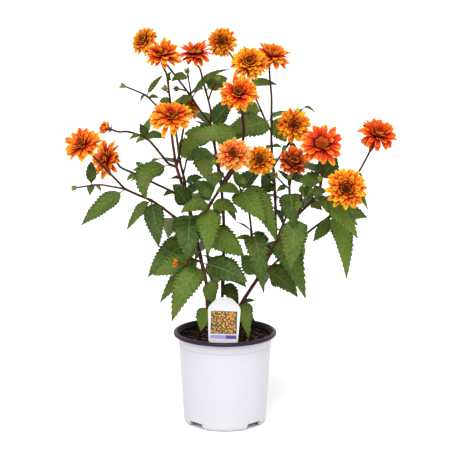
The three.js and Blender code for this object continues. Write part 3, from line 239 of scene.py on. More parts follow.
# leaf: shoot, where on it the leaf grows, its tip, its width in mm, and the middle if it is bent
leaves = [
    ("left_low", (125, 189), (81.4, 225, -51), 31, (103, 206, -42)),
    ("left_low", (151, 200.4), (127, 229.5, -10), 22),
    ("left_low", (151.5, 200.7), (158.7, 246.8, -66), 31),
    ("left_low", (174, 216.7), (168, 238, 60), 29),
    ("left_to_19", (143.7, 137.3), (165, 138.4, -45), 16),
    ("left_to_19", (171, 165), (146.5, 199, -75), 34, (147, 175, -51)),
    ("left_to_09", (177, 163.5), (150, 163, 33), 22, (163, 159, 15)),
    ("left_to_02", (179.9, 160.8), (199, 139, 27), 36),
    ("left_to_12", (138, 175), (152, 178.5, 66), 26),
    ("left_main", (189.3, 208.5), (172.5, 185, -33), 29),
    ("left_main", (190, 212), (187.5, 260, -84), 50, (189, 229, -60)),
    ("left_main", (197.5, 243), (148.3, 276.7, -60), 42, (174, 251, -33)),
    ("left_main", (197, 241), (186, 262, 117), 36),
    ("left_main", (185.5, 194), (197, 206, 90), 34),
    ("left_far_bud", (92.5, 185.5), (91, 161.5, -9), 17),
    ("left_to_02", (171.6, 109.5), (184, 97, 51), 19),
    ("left_to_02", (171.2, 107), (159.5, 101.5, -6), 19),
    ("centre_main", (210.8, 125.5), (235, 101, 24), 31),
    ("centre_main", (211, 126.5), (197, 112, 94), 24),
    ("centre_main", (213.8, 141), (243.5, 137, 9), 36),
    ("centre_main", (214, 142.5), (184.5, 133.5, 54), 34),
    ("centre_main", (216.2, 155.5), (213, 187, -36), 38, (204, 158, -9)),
    ("centre_main", (218.5, 169), (230, 160, 137), 34),
    ("centre_main", (220.5, 182), (205, 176, 129), 31),
    ("centre_main", (222.9, 207), (236, 221, 63), 16),
    ("centre_main", (223, 209), (209, 222, 90), 24),
    ("front_main", (205.2, 228), (244, 256, -40), 42, (223, 240, -42)),
    ("centre_main", (224, 240), (200, 252, 120), 34),
    ("centre_main", (223.2, 266), (246, 287, -15), 24),
    ("centre_main", (223.2, 268), (215, 286, 126), 34),
    ("centre_main", (222.8, 281), (238.5, 304.5, 15), 24),
    ("centre_to_01", (188.5, 93.5), (183.5, 105.5, 18), 18),
    ("centre_high_bud", (188, 75.5), (171.8, 81, 15), 18),
    ("centre_to_03", (206, 92), (227.5, 78, 66), 29),
    ("centre_to_07", (240.5, 149), (247, 167, 33), 24),
    ("front_main", (210, 204.6), (181, 212.8, -72), 29),
    ("front_main", (210.8, 203.6), (237.5, 212.8, -75), 26),
    ("front_main", (209.4, 205.8), (208.8, 253.5, -99), 38),
    ("front_main", (211.5, 202.5), (190.5, 199.5, -6), 17),
    ("front_main", (212, 201.5), (185.5, 181.5, -12), 29, (203, 186, -21)),
    ("front_bud", (220.3, 171.5), (214.5, 187.5, -99), 18),
    ("front_main", (205.3, 229), (213, 243, 30), 26),
    ("low_main", (201, 262.4), (247, 282, -93), 42, (225, 270, -80)),
    ("low_main", (200.7, 262), (153.7, 275.4, -66), 36),
    ("low_main", (203.5, 268.5), (172, 321, -99), 42, (188, 282, -84)),
    ("low_main", (205.8, 280), (213.5, 304, -34), 32, (210, 290, -42)),
    ("low_main", (205.5, 276), (160.3, 302.4, -33), 31, (183, 277, -45)),
    ("low_main", (207.3, 306), (200.5, 331, -44), 26),
    ("right_mid", (240.8, 190), (265, 221, -99), 46, (249, 202, -70)),
    ("right_mid", (241.5, 191.5), (216, 192.5, -99), 23),
    ("right_mid", (242.5, 193.5), (258.5, 167, -12), 36),
    ("right_mid", (240.8, 190), (276, 241, -60), 40, (259, 203, -50)),
    ("right_tall", (275.4, 206), (284, 227, 36), 12),
    ("right_tall", (275.3, 200), (291, 206, 111), 31),
    ("right_tall", (271.4, 119.5), (228, 127, 15), 44, (250, 126, 20)),
    ("right_tall", (271.4, 121), (286, 142, 60), 36),
    ("right_tall", (271.4, 118), (294, 112.5, 105), 22),
    ("right_tall", (272.5, 160), (262, 172, 120), 29),
    ("right_to_04", (262, 112.5), (237, 113, 60), 29),
    ("right_to_04", (247.3, 83), (277, 84.5, 99), 17),
    ("right_to_10", (289, 142.5), (315, 112.5, 78), 22, (300, 111, 69)),
    ("right_inner", (289.5, 190), (293.9, 226.5, -60), 38),
    ("right_inner", (290.3, 181), (303.5, 176, 15), 22),
    ("right_outer", (297.5, 215.2), (290.2, 269.4, -81), 41),
    ("right_outer", (277, 241.2), (305.6, 298.4, -36), 46, (287, 250, -24)),
    ("right_inner", (276.8, 240.5), (267.5, 257, 33), 20),
    ("right_tall", (276, 230), (291, 240, 93), 31),
    ("right_low", (266, 271.5), (297.5, 297, -14), 44, (281, 279, -2)),
    ("right_main", (258.5, 277), (241, 255.5, -6), 29),
    ("right_main", (264, 266), (262, 288, 93), 34),
    ("right_low", (278.7, 259.6), (298, 270, 99), 34),
    ("right_mid", (252.4, 239.3), (263.7, 292.7, -69), 36, (257, 246, -51)),
    ("right_mid", (252, 237.5), (269, 239.5, -45), 16),
    ("right_main", (241.4, 304.4), (254.5, 300, 15), 17),
    ("right_main", (241.2, 305.4), (248.5, 338, -42), 27, (244.5, 312, -30)),
    ("right_main", (240.8, 307), (255, 323, 18), 18),
    ("right_low", (331, 215.5), (313.3, 241, -24), 22, (323, 230, -9)),
    ("right_low", (330, 216.3), (346.5, 278.5, -24), 34, (342, 234, -18)),
    ("right_low", (329, 217), (357.7, 225.5, 51), 31),
    ("right_to_15", (334, 211.5), (367, 217.5, 10), 26),
    ("right_outer", (321, 193.6), (357.6, 238.2, -75), 31),
    ("right_to_14", (321, 182), (337, 158, -48), 36),
    ("right_to_14", (321, 182.8), (299, 180, -40), 32),
    ("right_to_14", (320.6, 185), (315.5, 200, -99), 17),
    ("right_outer", (316.5, 196.7), (304, 209.5, -21), 24),
    ("right_cluster", (301.3, 196), (313.5, 191.5, -75), 17),
    ("left_to_19", (140, 135.6), (129.5, 139.2, -21), 7),
    ("left_twig", (186.3, 162), (199, 155.5, 6), 9),
    ("left_to_02", (184.4, 180), (170.5, 179, -15), 8),
    ("left_to_12", (172.1, 191.8), (163.6, 196, 3), 9),
    ("left_far_bud", (95, 185.2), (101, 191.5, 9), 9),
    ("left_high_bud", (146.3, 95.8), (162.8, 75.4, 30), 9),
    ("left_high_bud", (147.5, 96.8), (158.5, 98, 21), 8),
    ("left_high_bud", (144.5, 94.8), (140.5, 101, 30), 5),
    ("left_to_02", (168, 84), (171.5, 72, -24), 10),
    ("centre_to_01", (192, 98), (229, 69.5, 39), 11, (207, 78, 45)),
    ("low_to_20", (194.5, 259.6), (200.8, 251.6, -84), 8),
    ("low_to_20", (193.5, 259.6), (195.5, 268.5, -87), 9),
    ("right_tall", (271.6, 146.5), (265.3, 149.5, 21), 8),
    ("right_tall", (271.6, 145), (281.8, 147.3, 21), 7),
    ("right_to_10", (287, 146), (282, 151.5, 24), 8),
    ("right_to_10", (289.3, 142), (297, 154, 24), 9),
    ("right_red_bud", (286.5, 186.5), (277, 191.5, -24), 10),
    ("right_mid", (252.2, 238), (236, 239, -42), 8),
    ("right_mid", (252.5, 240.5), (248.3, 252, -54), 9),
    ("right_to_13", (356.5, 174), (363.5, 179.5, 21), 9),
    ("right_cluster", (301.4, 195), (302, 185, -66), 10),
    ("left_to_19", (144.5, 137.8), (150, 118, 39), 12),
    ("left_to_12", (137, 174.5), (127, 180.5, 12), 11),
    ("left_far_bud", (91.5, 185.6), (90, 195, -45), 12),
    ("left_high_bud", (163, 109.8), (150.5, 117, 60), 12),
    ("centre_to_01", (190.5, 96), (203.5, 89.2, 12), 12),
    ("right_mid", (240.7, 190), (233.2, 167.5, -45), 12),
    ("right_inner", (290, 183.5), (278, 170, 18), 11),
    ("right_to_13", (350, 178.5), (367.8, 209.5, 0), 12),
    ("right_cluster", (300.6, 201), (296.5, 212, -69), 12),
    ("centre_to_07", (243.2, 134), (187, 137, -42), 34, (214, 134, -30)),
    ("right_tall", (274.5, 186), (260, 195, 10), 22),
    ("right_to_14", (321.5, 177), (303, 163, -30), 26),
    ("right_outer", (313, 199.5), (303, 187, -76), 17),
    ("right_outer", (309, 203), (322, 210, -66), 15),
    ("left_main", (186.8, 199), (202, 181, 34), 24),
    ("centre_main", (212, 131), (194, 121, 70), 24),
    ("right_mid", (251.5, 233), (236, 222, -5), 5),
    ("right_tall", (274.8, 196), (258, 205, 78), 30),
    ("right_main", (270.5, 253), (248, 246, 60), 24),
    ("right_outer", (292, 221.5), (275, 212, 54), 26),
    ("left_main", (203, 268), (182, 280, 66), 30),
    ("left_main", (200, 256), (218, 268, 78), 26),
    ("right_low", (294, 245), (301, 262, 80), 26),
    ("right_low", (303, 237), (292, 222, 96), 26),
    ("left_low", (162, 207.5), (150, 222, 60), 24),
    ("left_side_twig", (142, 171), (133, 170, 20), 9),
    ("left_side_twig", (141.5, 168), (136, 162, 14), 8),
    ("left_to_12", (140, 176), (131, 181, 50), 10),
    ("left_to_19", (147, 139.2), (140, 124, -12), 14),
    ("left_to_19", (145, 138), (136, 143, -20), 9),
    ("left_to_02", (184.6, 182), (203, 178, -10), 15),
    ("right_tall", (273.6, 172), (262, 190, -20), 22),
    ("right_outer", (319, 195), (327, 212, -80), 15),
    ("right_mid", (252.2, 238.5), (237, 237, -10), 8),
    ("right_mid", (252, 236), (265, 233, -15), 7),
]


def placed(spot):
    across, down, depth = spot
    cos, sin = math.cos(view["pitch"]), math.sin(view["pitch"])
    away = view["distance"] + depth
    slope = (view["middle"] - down) / view["focal"]
    rise = away * (slope * cos - sin) / (cos + slope * sin)
    reach = away * cos - rise * sin
    flat = Vector(((across - view["middle"]) * reach / view["focal"], depth, view["height"] + rise))
    return flat * mm + potMiddle


def bloomAxis(turn, lift):
    turn, lift = math.radians(turn), math.radians(lift)
    return Vector((math.sin(turn) * math.cos(lift), -math.cos(turn) * math.cos(lift), math.sin(lift)))


# shader nodes written as expressions
class Wire:
    def __init__(self, maker, socket):
        self.maker, self.socket = maker, socket

    def math(self, operation, first, second=0.0):
        return self.maker.node("Math", {"operation": operation}, {0: first, 1: second})

    def __add__(self, other): return self.math("ADD", self, other)
    def __radd__(self, other): return self.math("ADD", other, self)
    def __sub__(self, other): return self.math("SUBTRACT", self, other)
    def __rsub__(self, other): return self.math("SUBTRACT", other, self)
    def __mul__(self, other): return self.math("MULTIPLY", self, other)
    def __rmul__(self, other): return self.math("MULTIPLY", other, self)
    def __truediv__(self, other): return self.math("DIVIDE", self, other)
    def __pow__(self, other): return self.math("POWER", self, other)
    def __abs__(self): return self.math("ABSOLUTE", self)
    def fract(self): return self.math("FRACT", self)
    def sine(self): return self.math("SINE", self)
    def least(self, other): return self.math("MINIMUM", self, other)
    def most(self, other): return self.math("MAXIMUM", self, other)
    def held(self): return self.most(0.0).least(1.0)


class Finish:
    def __init__(self, name):
        self.material = bpy.data.materials.new(name)
        self.material.use_nodes = True
        self.tree = self.material.node_tree
        self.tree.nodes.clear()
        self.output = self.tree.nodes.new("ShaderNodeOutputMaterial")

    def node(self, kind, settings, values, output=0):
        made = self.tree.nodes.new("ShaderNode" + kind)
        for key, value in settings.items():
            if key == "stops":
                ramp = made.color_ramp
                while len(ramp.elements) < len(value):
                    ramp.elements.new(0.5)
                for element, (place, color) in zip(ramp.elements, value):
                    element.position, element.color = place, (*color, 1)
            else:
                setattr(made, key, value)
        for key, value in values.items():
            if isinstance(value, Wire):
                self.tree.links.new(value.socket, made.inputs[key])
            else:
                made.inputs[key].default_value = value
        return Wire(self, made.outputs[output])

    def axes(self, vector):
        return [self.node("SeparateXYZ", {}, {0: vector}, part) for part in range(3)]

    def place(self): return self.node("TexCoord", {}, {}, "Object")
    def sheet(self): return self.node("UVMap", {"uv_map": "sheet"}, {})
    def tint(self): return self.node("Attribute", {"attribute_name": "tint"}, {}, "Fac")

    def speckle(self, size, detail):
        return self.node("TexNoise", {}, {"Vector": self.place(), "Scale": 1 / size, "Detail": detail})

    def mixed(self, share, first, second):
        first, second = [(*c, 1) if isinstance(c, tuple) else c for c in (first, second)]
        return self.node("Mix", {"data_type": "RGBA"}, {0: share, 6: first, 7: second}, 2)

    def ramp(self, share, stops):
        return self.node("ValToRGB", {"stops": stops}, {0: share})

    def bumped(self, height, depth):
        return self.node("Bump", {}, {"Height": height, "Distance": depth, "Strength": 1.0})

    def surface(self, color, roughness, fixed=None, normal=None):
        values = {"Base Color": color if isinstance(color, Wire) else (*color, 1), "Roughness": roughness}
        values.update(fixed or {})
        if normal:
            values["Normal"] = normal
        shader = self.node("BsdfPrincipled", {}, values)
        self.tree.links.new(shader.socket, self.output.inputs["Surface"])
        return self.material


# finishes
vein = {"pairs": 8.5, "slant": 1.5, "midrib": 0.075, "midribTip": 0.04, "branch": 0.085}


def leafFinish(name, deep, fresh, tan, rib, roughness):
    made = Finish(name)
    across, along, _ = made.axes(made.sheet())
    side = abs(across - 0.5) * 2
    midrib = (1 - side / (vein["midrib"] - along * vein["midribTip"])).held()
    phase = (along * vein["pairs"] - side * vein["slant"]).fract()
    branch = (1 - abs(phase - 0.5) / vein["branch"]).held() * (1 - side * 0.55) * (side * 8).held()
    net = made.speckle(0.0016, 3)
    patch = made.speckle(0.022, 2)
    crumple = made.speckle(0.0045, 2)
    # painted shade: the green is kept darker near the side veins, where the quilted blade dips, and lighter
    # between them
    paintedQuiltShade = 1 - abs(phase - 0.5) * 1.6
    share = made.tint() * 0.8 + patch * 0.5 + paintedQuiltShade * 0.12 - 0.30
    share = (share + (net - 0.5) * 0.6 + (crumple - 0.5) * 0.7).held()
    green = made.mixed(share, deep, fresh)
    worn = ((made.speckle(0.035, 2) - 0.52) * 4 + (crumple - 0.5) * 2).held() * 0.6
    tanned = made.mixed(worn, green, tan)
    veined = made.mixed((midrib * 0.8 + branch * 0.3).held(), tanned, rib)
    swell = (phase * math.pi).sine() * 0.6 - midrib * 0.9 - branch * 0.35 + net * 0.3 + crumple * 0.5
    wet = roughness + (net - 0.5) * 0.12
    return made.surface(veined, wet, {"Specular IOR Level": 0.22}, made.bumped(swell, 0.0006))


flame = {"grooves": 9, "fleck": 0.34, "unlike": 0.34, "streak": 0.045}  # what breaks up a petal's colours


def petalFinish(name, stops, margin):
    made = Finish(name)
    across, along, _ = made.axes(made.sheet())
    side = abs(across - 0.5) * 2
    line = (across * math.pi * flame["grooves"]).sine()
    fleck = made.speckle(0.003, 3)
    edge = side**1.4 * margin * (along * 1.6 - 0.2).held()
    share = along + edge - margin * 0.22 + (fleck - 0.5) * flame["fleck"]
    share = share + (made.tint() - 0.5) * flame["unlike"] + line * flame["streak"]
    color = made.ramp(share.held(), stops)
    grooves = made.bumped(line * 0.7 + fleck * 0.4, 0.0006)
    return made.surface(color, 0.5, {"Specular IOR Level": 0.2}, grooves)


def stemFinish():
    made = Finish("stem skin")
    tone = made.speckle(0.05, 2)
    fine = made.speckle(0.002, 3)
    share = ((tone - 0.42) * 3.2 + (fine - 0.5) * 0.4).held()
    color = made.mixed(share, (0.036, 0.007, 0.006), (0.135, 0.032, 0.013))
    return made.surface(color, 0.5, {"Specular IOR Level": 0.15}, made.bumped(fine, 0.0003))


def tuftFinish(name, low, high):
    made = Finish(name)
    _, along, _ = made.axes(made.sheet())
    grain = made.speckle(0.0012, 2)
    share = (along * (made.tint() * 1.3 + 0.2) + (grain - 0.5) * 0.3).held()
    return made.surface(made.mixed(share, low, high), 0.7, {"Specular IOR Level": 0.1})


def plainFinish(name, color, roughness, grainSize=0.01, grain=0.06, depth=0.0001, gloss=0.5):
    made = Finish(name)
    spread = made.speckle(grainSize, 3)
    shade = tuple(c * (1 - grain) for c in color)
    tone = made.mixed(spread, color, shade)
    return made.surface(tone, roughness, {"Specular IOR Level": gloss}, made.bumped(spread, depth))


finishes = {
    "leafTop": leafFinish("leaf upper side", (0.020, 0.046, 0.004), (0.105, 0.172, 0.013),
                          (0.105, 0.098, 0.017), (0.185, 0.215, 0.042), 0.58),
    "leafUnder": leafFinish("leaf underside", (0.056, 0.092, 0.018), (0.126, 0.172, 0.036),
                            (0.13, 0.13, 0.04), (0.20, 0.23, 0.07), 0.68),
    "sepal": leafFinish("sepal", (0.032, 0.060, 0.006), (0.10, 0.155, 0.018),
                        (0.09, 0.08, 0.018), (0.14, 0.17, 0.035), 0.6),
    "stem": stemFinish(),
    "openPetal": petalFinish("petal of an open bloom", [
        (0.0, (0.17, 0.005, 0.003)), (0.16, (0.60, 0.019, 0.004)), (0.42, (0.94, 0.062, 0.005)),
        (0.67, (1.0, 0.185, 0.006)), (0.88, (1.0, 0.49, 0.017))], 0.44),
    "emberPetal": petalFinish("petal of a red bloom", [
        (0.0, (0.17, 0.005, 0.003)), (0.18, (0.56, 0.016, 0.004)), (0.48, (0.91, 0.050, 0.005)),
        (0.76, (1.0, 0.130, 0.007)), (0.97, (1.0, 0.43, 0.018))], 0.40),
    "rustPetal": petalFinish("petal of an old bloom", [
        (0.0, (0.05, 0.006, 0.004)), (0.3, (0.26, 0.016, 0.006)), (0.6, (0.68, 0.060, 0.008)),
        (0.9, (0.98, 0.27, 0.016))], 0.34),
    "densePetal": petalFinish("petal of a dense bloom", [
        (0.0, (0.08, 0.004, 0.003)), (0.29, (0.46, 0.012, 0.004)), (0.49, (0.95, 0.076, 0.005)),
        (0.66, (1.0, 0.25, 0.006)), (0.86, (1.0, 0.55, 0.013))], 0.34),
    "peachPetal": petalFinish("petal of a fading bloom", [
        (0.0, (0.22, 0.007, 0.004)), (0.20, (0.74, 0.028, 0.007)), (0.44, (0.97, 0.096, 0.013)),
        (0.64, (1.0, 0.26, 0.030)), (0.84, (1.0, 0.58, 0.11))], 0.44),
    "petalBack": petalFinish("petal back", [
        (0.0, (0.66, 0.060, 0.008)), (0.5, (0.92, 0.16, 0.012)), (1.0, (1.0, 0.42, 0.024))], 0.2),
    "floret": tuftFinish("disc floret", (0.014, 0.004, 0.003), (0.34, 0.062, 0.009)),
    "goldFloret": tuftFinish("outer disc floret", (0.08, 0.006, 0.004), (0.90, 0.24, 0.010)),
    "rustFloret": tuftFinish("disc floret of a red bloom", (0.26, 0.024, 0.008), (0.78, 0.135, 0.024)),
    "budFloret": tuftFinish("bud floret", (0.26, 0.27, 0.03), (0.66, 0.54, 0.07)),
    "budSepal": leafFinish("bud sepal", (0.09, 0.135, 0.020), (0.22, 0.27, 0.050),
                           (0.18, 0.17, 0.04), (0.26, 0.30, 0.075), 0.6),
}

# how a piece is made


def newPiece(name, shape, materials, smooth=True):
    mesh = bpy.data.meshes.new(name)
    shape.to_mesh(mesh)
    shape.free()
    for material in materials:
        mesh.materials.append(material)
    mesh.polygons.foreach_set("use_smooth", [smooth] * len(mesh.polygons))
    piece = bpy.data.objects.new(name, mesh)
    bpy.context.scene.collection.objects.link(piece)
    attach(piece, "root")
    return piece


def startShape():
    shape = bmesh.new()
    shape.loops.layers.uv.new("sheet")
    shape.verts.layers.float.new("tint")
    return shape


# a flat strip of cells, bent by a rule that gives each (across, along) its place
def addSheet(shape, columns, rows, rule, tint, finish=0):
    uv = shape.loops.layers.uv["sheet"]
    tone = shape.verts.layers.float["tint"]
    made = bmesh.ops.create_grid(shape, x_segments=columns, y_segments=rows, size=1)["verts"]
    where = {vert: ((vert.co.x + 1) / 2, (vert.co.y + 1) / 2) for vert in made}
    for face in {face for vert in made for face in vert.link_faces}:
        face.material_index = finish
        for loop in face.loops:
            loop[uv].uv = where[loop.vert]
    for vert, (across, along) in where.items():
        vert.co = rule(across * 2 - 1, along)
        vert[tone] = tint


# gives a piece's sheets their thickness, with the next material on the underside
def thicken(piece, thickness, under=0):
    wall = piece.modifiers.new("thickness", "SOLIDIFY")
    wall.thickness, wall.offset, wall.material_offset = thickness * mm, -1, under


# stems
stem = {
    "parts": 5,  # steps between two points of a route
    "sides": 4,
    "fuller": 0.45,  # mm of radius more than the solids' flat-sided stems
    "knuckle": 1.28,  # swelling where leaves and branches grow
    "rootDepth": 11,
    "soilEdge": 139,
    "gap": 0.3,
}
core = {"rowHeight": 1.7, "clearance": 0.4, "neck": 7, "layers": 3, "budLayers": 2}
bloomNamed = {bloom[0]: bloom for bloom in blooms}


def coreDepth(form):
    return core["rowHeight"] * (core["budLayers"] if form == "bud" else core["layers"])


def shootRoute(shoot):
    _, _, _, end, spots = shoot
    route = [placed(spot) for spot in spots]
    if spots[0][1] > view["rootLine"]:
        foot = route[0]
        for level in (stem["soilEdge"] + stem["gap"], stem["soilEdge"] - stem["rootDepth"]):
            route.insert(0, Vector((foot.x, foot.y, level * mm)))
    if end.startswith("bloom"):
        _, spot, _, turn, lift, _, form = bloomNamed[end[-2:]]
        back = -bloomAxis(turn, lift)
        neck = coreDepth(form) + core["neck"]
        route += [placed(spot) + back * (neck + 9) * mm, placed(spot) + back * (neck - 3) * mm]
    return route


# a smooth curve through the route, as centripetal Catmull-Rom spans
def smoothLine(route):
    ends = [2 * route[0] - route[1], *route, 2 * route[-1] - route[-2]]
    line = []
    for a, b, c, d in zip(ends, ends[1:], ends[2:], ends[3:]):
        ab, bc, cd = [max(1e-4, (q - p).length ** 0.5) for p, q in ((a, b), (b, c), (c, d))]
        leave = ((b - a) / ab - (c - a) / (ab + bc) + (c - b) / bc) * bc
        arrive = ((c - b) / bc - (d - b) / (bc + cd) + (d - c) / cd) * bc
        for part in range(stem["parts"]):
            t = part / stem["parts"]
            line.append(b * (2 * t**3 - 3 * t**2 + 1) + leave * (t**3 - 2 * t**2 + t)
                        + c * (3 * t**2 - 2 * t**3) + arrive * (t**3 - t**2))
    return line + [route[-1]]


lines = {shoot[0]: smoothLine(shootRoute(shoot)) for shoot in shoots}


def onStem(line, across, down):
    return min(line, key=lambda p: (p - placed((across, down, (p.y - potMiddle.y) / mm))).length)


def stemTubes(stemName):
    curve = bpy.data.curves.new("route", "CURVE")
    curve.dimensions = "3D"
    curve.bevel_depth = mm
    curve.bevel_resolution = stem["sides"]
    curve.use_fill_caps = True
    for shoot in shoots:
        if shoot[1] != stemName:
            continue
        line = lines[shoot[0]]
        spline = curve.splines.new("POLY")
        spline.points.add(len(line) - 1)
        joints = [onStem(line, *leaf[1]) for leaf in leaves if leaf[0] == shoot[0]]
        for index, (point, spot) in enumerate(zip(spline.points, line)):
            share = index / (len(line) - 1)
            radius = shoot[2][0] + (shoot[2][1] - shoot[2][0]) * share
            point.co = (*spot, 1)
            point.radius = (radius + stem["fuller"]) * (stem["knuckle"] if spot in joints else 1)
    drawn = bpy.data.objects.new("route", curve)
    bpy.context.scene.collection.objects.link(drawn)
    bpy.context.view_layer.update()
    tubes = bmesh.new()
    tubes.from_mesh(drawn.to_mesh())
    bpy.data.objects.remove(drawn)
    piece = newPiece("stems_" + stemName, tubes, [finishes["stem"]])
    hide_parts("stem_" + stemName)


# leaves
blade = {
    "petiole": 0.12,
    "petioleWidth": 1.6,
    "fold": 0.2,
    "arch": 0.14,
    "thickness": 0.35,
    "toothStep": 5.4,  # mm of leaf to one tooth
    "toothDepth": 0.11,
    "toothRows": (0.0, 0.52, 0.94),  # where the rows of one tooth lie along it
    "toothCuts": (-1.15, 0.15, 0.95),  # and how far each stands out
    "faceUp": 0.75,
    "faceViewer": 1.1,
    "faceOut": 0.3,
    "faceBack": 0.45,
    "ripple": 0.035,
    "columns": 6,
}


def bladeWidth(t):
    if t <= blade["petiole"]:
        return 0
    share = (t - blade["petiole"]) / (1 - blade["petiole"])
    return max(0, math.sin(math.pi * share**0.64)) ** 0.82


def bladeFacing(base, tip, control):
    outward = tip - base
    outward.z = 0
    outward.normalize()
    facing = up * blade["faceUp"]
    if tip.y > base.y + 20 * mm:
        facing += outward * blade["faceBack"]
    else:
        facing += toViewer * blade["faceViewer"] + outward * blade["faceOut"]
    if abs(facing.normalized().dot((tip - base).normalized())) > 0.9:
        facing += (control - base).normalized()
    return facing.normalized()


def addLeaf(shape, base, tip, width, bend, draw):
    halfway = base.lerp(tip, 0.5)
    length = (tip - base).length
    control = bend * 2 - halfway if bend else halfway + up * blade["arch"] * length
    facing = bladeFacing(base, tip, control)
    teeth = max(3, round(length / mm / blade["toothStep"]))
    rows = teeth * 3
    wave, twist, lean = draw.uniform(0, 6.28), draw.uniform(-0.3, 0.3), draw.uniform(-0.12, 0.12)
    cuts = [draw.uniform(0.4, 1.3) * blade["toothDepth"] for _ in range(teeth * 2 + 2)]

    def rule(across, along):
        row = round(along * rows)
        tooth, part = divmod(row, 3)
        t = min(1, (tooth + blade["toothRows"][part]) / teeth)
        spot = base * (1 - t) ** 2 + control * 2 * t * (1 - t) + tip * t * t
        forward = ((control - base) * (1 - t) + (tip - control) * t).normalized()
        normal = (facing - forward * facing.dot(forward)).normalized()
        normal = Quaternion(forward, twist * t + lean) @ normal
        side = forward.cross(normal)
        cut = blade["toothCuts"][part] * cuts[tooth * 2 + (across > 0)] * abs(across) ** 3
        wide = width * mm * bladeWidth(t)
        half = max(blade["petioleWidth"] * mm / 2, wide / 2 * (1 + cut))
        rise = blade["fold"] * half * abs(across) ** 1.3
        rise += blade["ripple"] * wide * math.sin(t * 15 + wave + across) * across * across
        sweep = forward * abs(across) ** 3 * cut * half * 0.8
        return spot + side * across * half + normal * rise + sweep

    addSheet(shape, blade["columns"], rows, rule, draw.random())


def leafBlades(stemName):
    shape = startShape()
    draw = random.Random("leaves " + stemName)
    own = [shoot[0] for shoot in shoots if shoot[1] == stemName]
    for name, at, tip, width, *bend in leaves:
        if name in own:
            bent = placed(bend[0]) if bend else None
            addLeaf(shape, onStem(lines[name], *at), placed(tip), width, bent, draw)
    piece = newPiece("leaves_" + stemName, shape, [finishes["leafTop"], finishes["leafUnder"]])
    thicken(piece, blade["thickness"], 1)
    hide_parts("stem_" + stemName)


# sepals and buds
sepal = {
    "thickness": 0.25, "count": 9, "length": 11, "width": 3.6, "lift": -0.25, "sunk": 2.2,
    "cupFoot": 1.5, "cupDepth": 5,
    "budCount": 8, "budLength": 8.5, "budWidth": 3.2, "budInner": 0.8, "budLift": 0.95,
    "openingSize": 0.7,  # of the green parts under a bloom that is just opening
}
bud = {
    "radius": 4.5, "depth": 5.6, "raised": 1.6, "squat": 0.62, "plump": 0.86,
    "florets": 30, "tuftLevel": 2.2, "tuftDome": 2.6, "tuftSize": 0.62,
}


def addSepals(shape, seat, turn, count, length, width, inner, lift, draw, finish=0):
    for number in range(count):
        angle = (number + draw.uniform(-0.12, 0.12)) / count * 2 * math.pi
        rise = lift + draw.uniform(-0.18, 0.18)
        reach = length * draw.uniform(0.85, 1.1)

        def rule(across, along, angle=angle, rise=rise, reach=reach):
            out = inner + reach * along * math.cos(rise)
            high = reach * (along * math.sin(rise) + 0.16 * along * along)
            half = width / 2 * (math.sin(math.pi * (0.12 + 0.88 * along) ** 0.8) + 0.02)
            flat = Vector((out, -across * half, high - 0.25 * half * (1 - across * across)))
            return seat + turn @ (Quaternion(up, angle) @ (flat * mm))

        addSheet(shape, 2, 5, rule, draw.random(), finish)


def addCup(shape, seat, turn, low, high, deep):
    place = Matrix.Translation(seat) @ turn.to_matrix().to_4x4() @ Matrix.Translation((0, 0, -deep * mm / 2))
    bmesh.ops.create_cone(shape, cap_ends=True, segments=12, radius1=low * mm, radius2=high * mm,
                          depth=deep * mm, matrix=place)


def addBud(shape, florets, line, draw, size=1.0, finish=0):
    seat = line[-1]
    turn = up.rotation_difference((line[-1] - line[-3]).normalized())
    place = Matrix.Translation(seat + turn @ (up * bud["raised"] * size * mm)) @ turn.to_matrix().to_4x4()
    body = place @ Matrix.Diagonal((1, 1, bud["depth"] / bud["radius"] * bud["squat"], 1))
    made = bmesh.ops.create_uvsphere(shape, u_segments=10, v_segments=7,
                                     radius=bud["radius"] * size * mm * bud["plump"], matrix=body)["verts"]
    for face in {face for vert in made for face in vert.link_faces}:
        face.material_index = 1
    addSepals(shape, seat, turn, sepal["budCount"], sepal["budLength"] * size, sepal["budWidth"] * size,
              sepal["budInner"], sepal["budLift"], draw, 1)
    addFlorets(florets, seat + turn @ (up * bud["tuftLevel"] * size * mm), turn, bud["florets"],
               bud["radius"] * bud["plump"] * size, bud["tuftDome"] * size, bud["tuftSize"] * size, draw,
               finish, finish)


# discs
golden = math.pi * (3 - math.sqrt(5))
floret = {"sides": 5, "foot": 0.62, "head": 0.42, "lean": 0.9, "rim": 0.72}


def addFlorets(shape, seat, turn, count, radius, dome, size, draw, front=0, edge=0):
    uv, tone = shape.loops.layers.uv["sheet"], shape.verts.layers.float["tint"]
    for number in range(count):
        share = math.sqrt((number + 0.5) / count)
        shade = draw.random() ** 1.6
        angle = number * golden
        out = Vector((math.cos(angle), math.sin(angle), 0))
        spot = out * share * radius + up * dome * (1 - share * share)
        lean = (out * share * floret["lean"] + up).normalized()
        tall = size * (1.5 + 1.5 * share) * draw.uniform(0.6, 1.35)
        place = Matrix.Translation(seat) @ turn.to_matrix().to_4x4() @ Matrix.Translation(spot * mm)
        place @= up.rotation_difference(lean).to_matrix().to_4x4()
        place @= Matrix.Translation(up * tall * 0.35 * mm)
        made = bmesh.ops.create_cone(shape, cap_ends=True, segments=floret["sides"], matrix=place,
                                     radius1=size * floret["foot"] * mm, radius2=size * floret["head"] * mm,
                                     depth=tall * mm)["verts"]
        low = set(made[:floret["sides"]])
        for vert in made:
            vert[tone] = shade
        for face in {face for vert in made for face in vert.link_faces}:
            face.material_index = edge if share > floret["rim"] else front
            for loop in face.loops:
                loop[uv].uv = (share, 0.0 if loop.vert in low else 1.0)


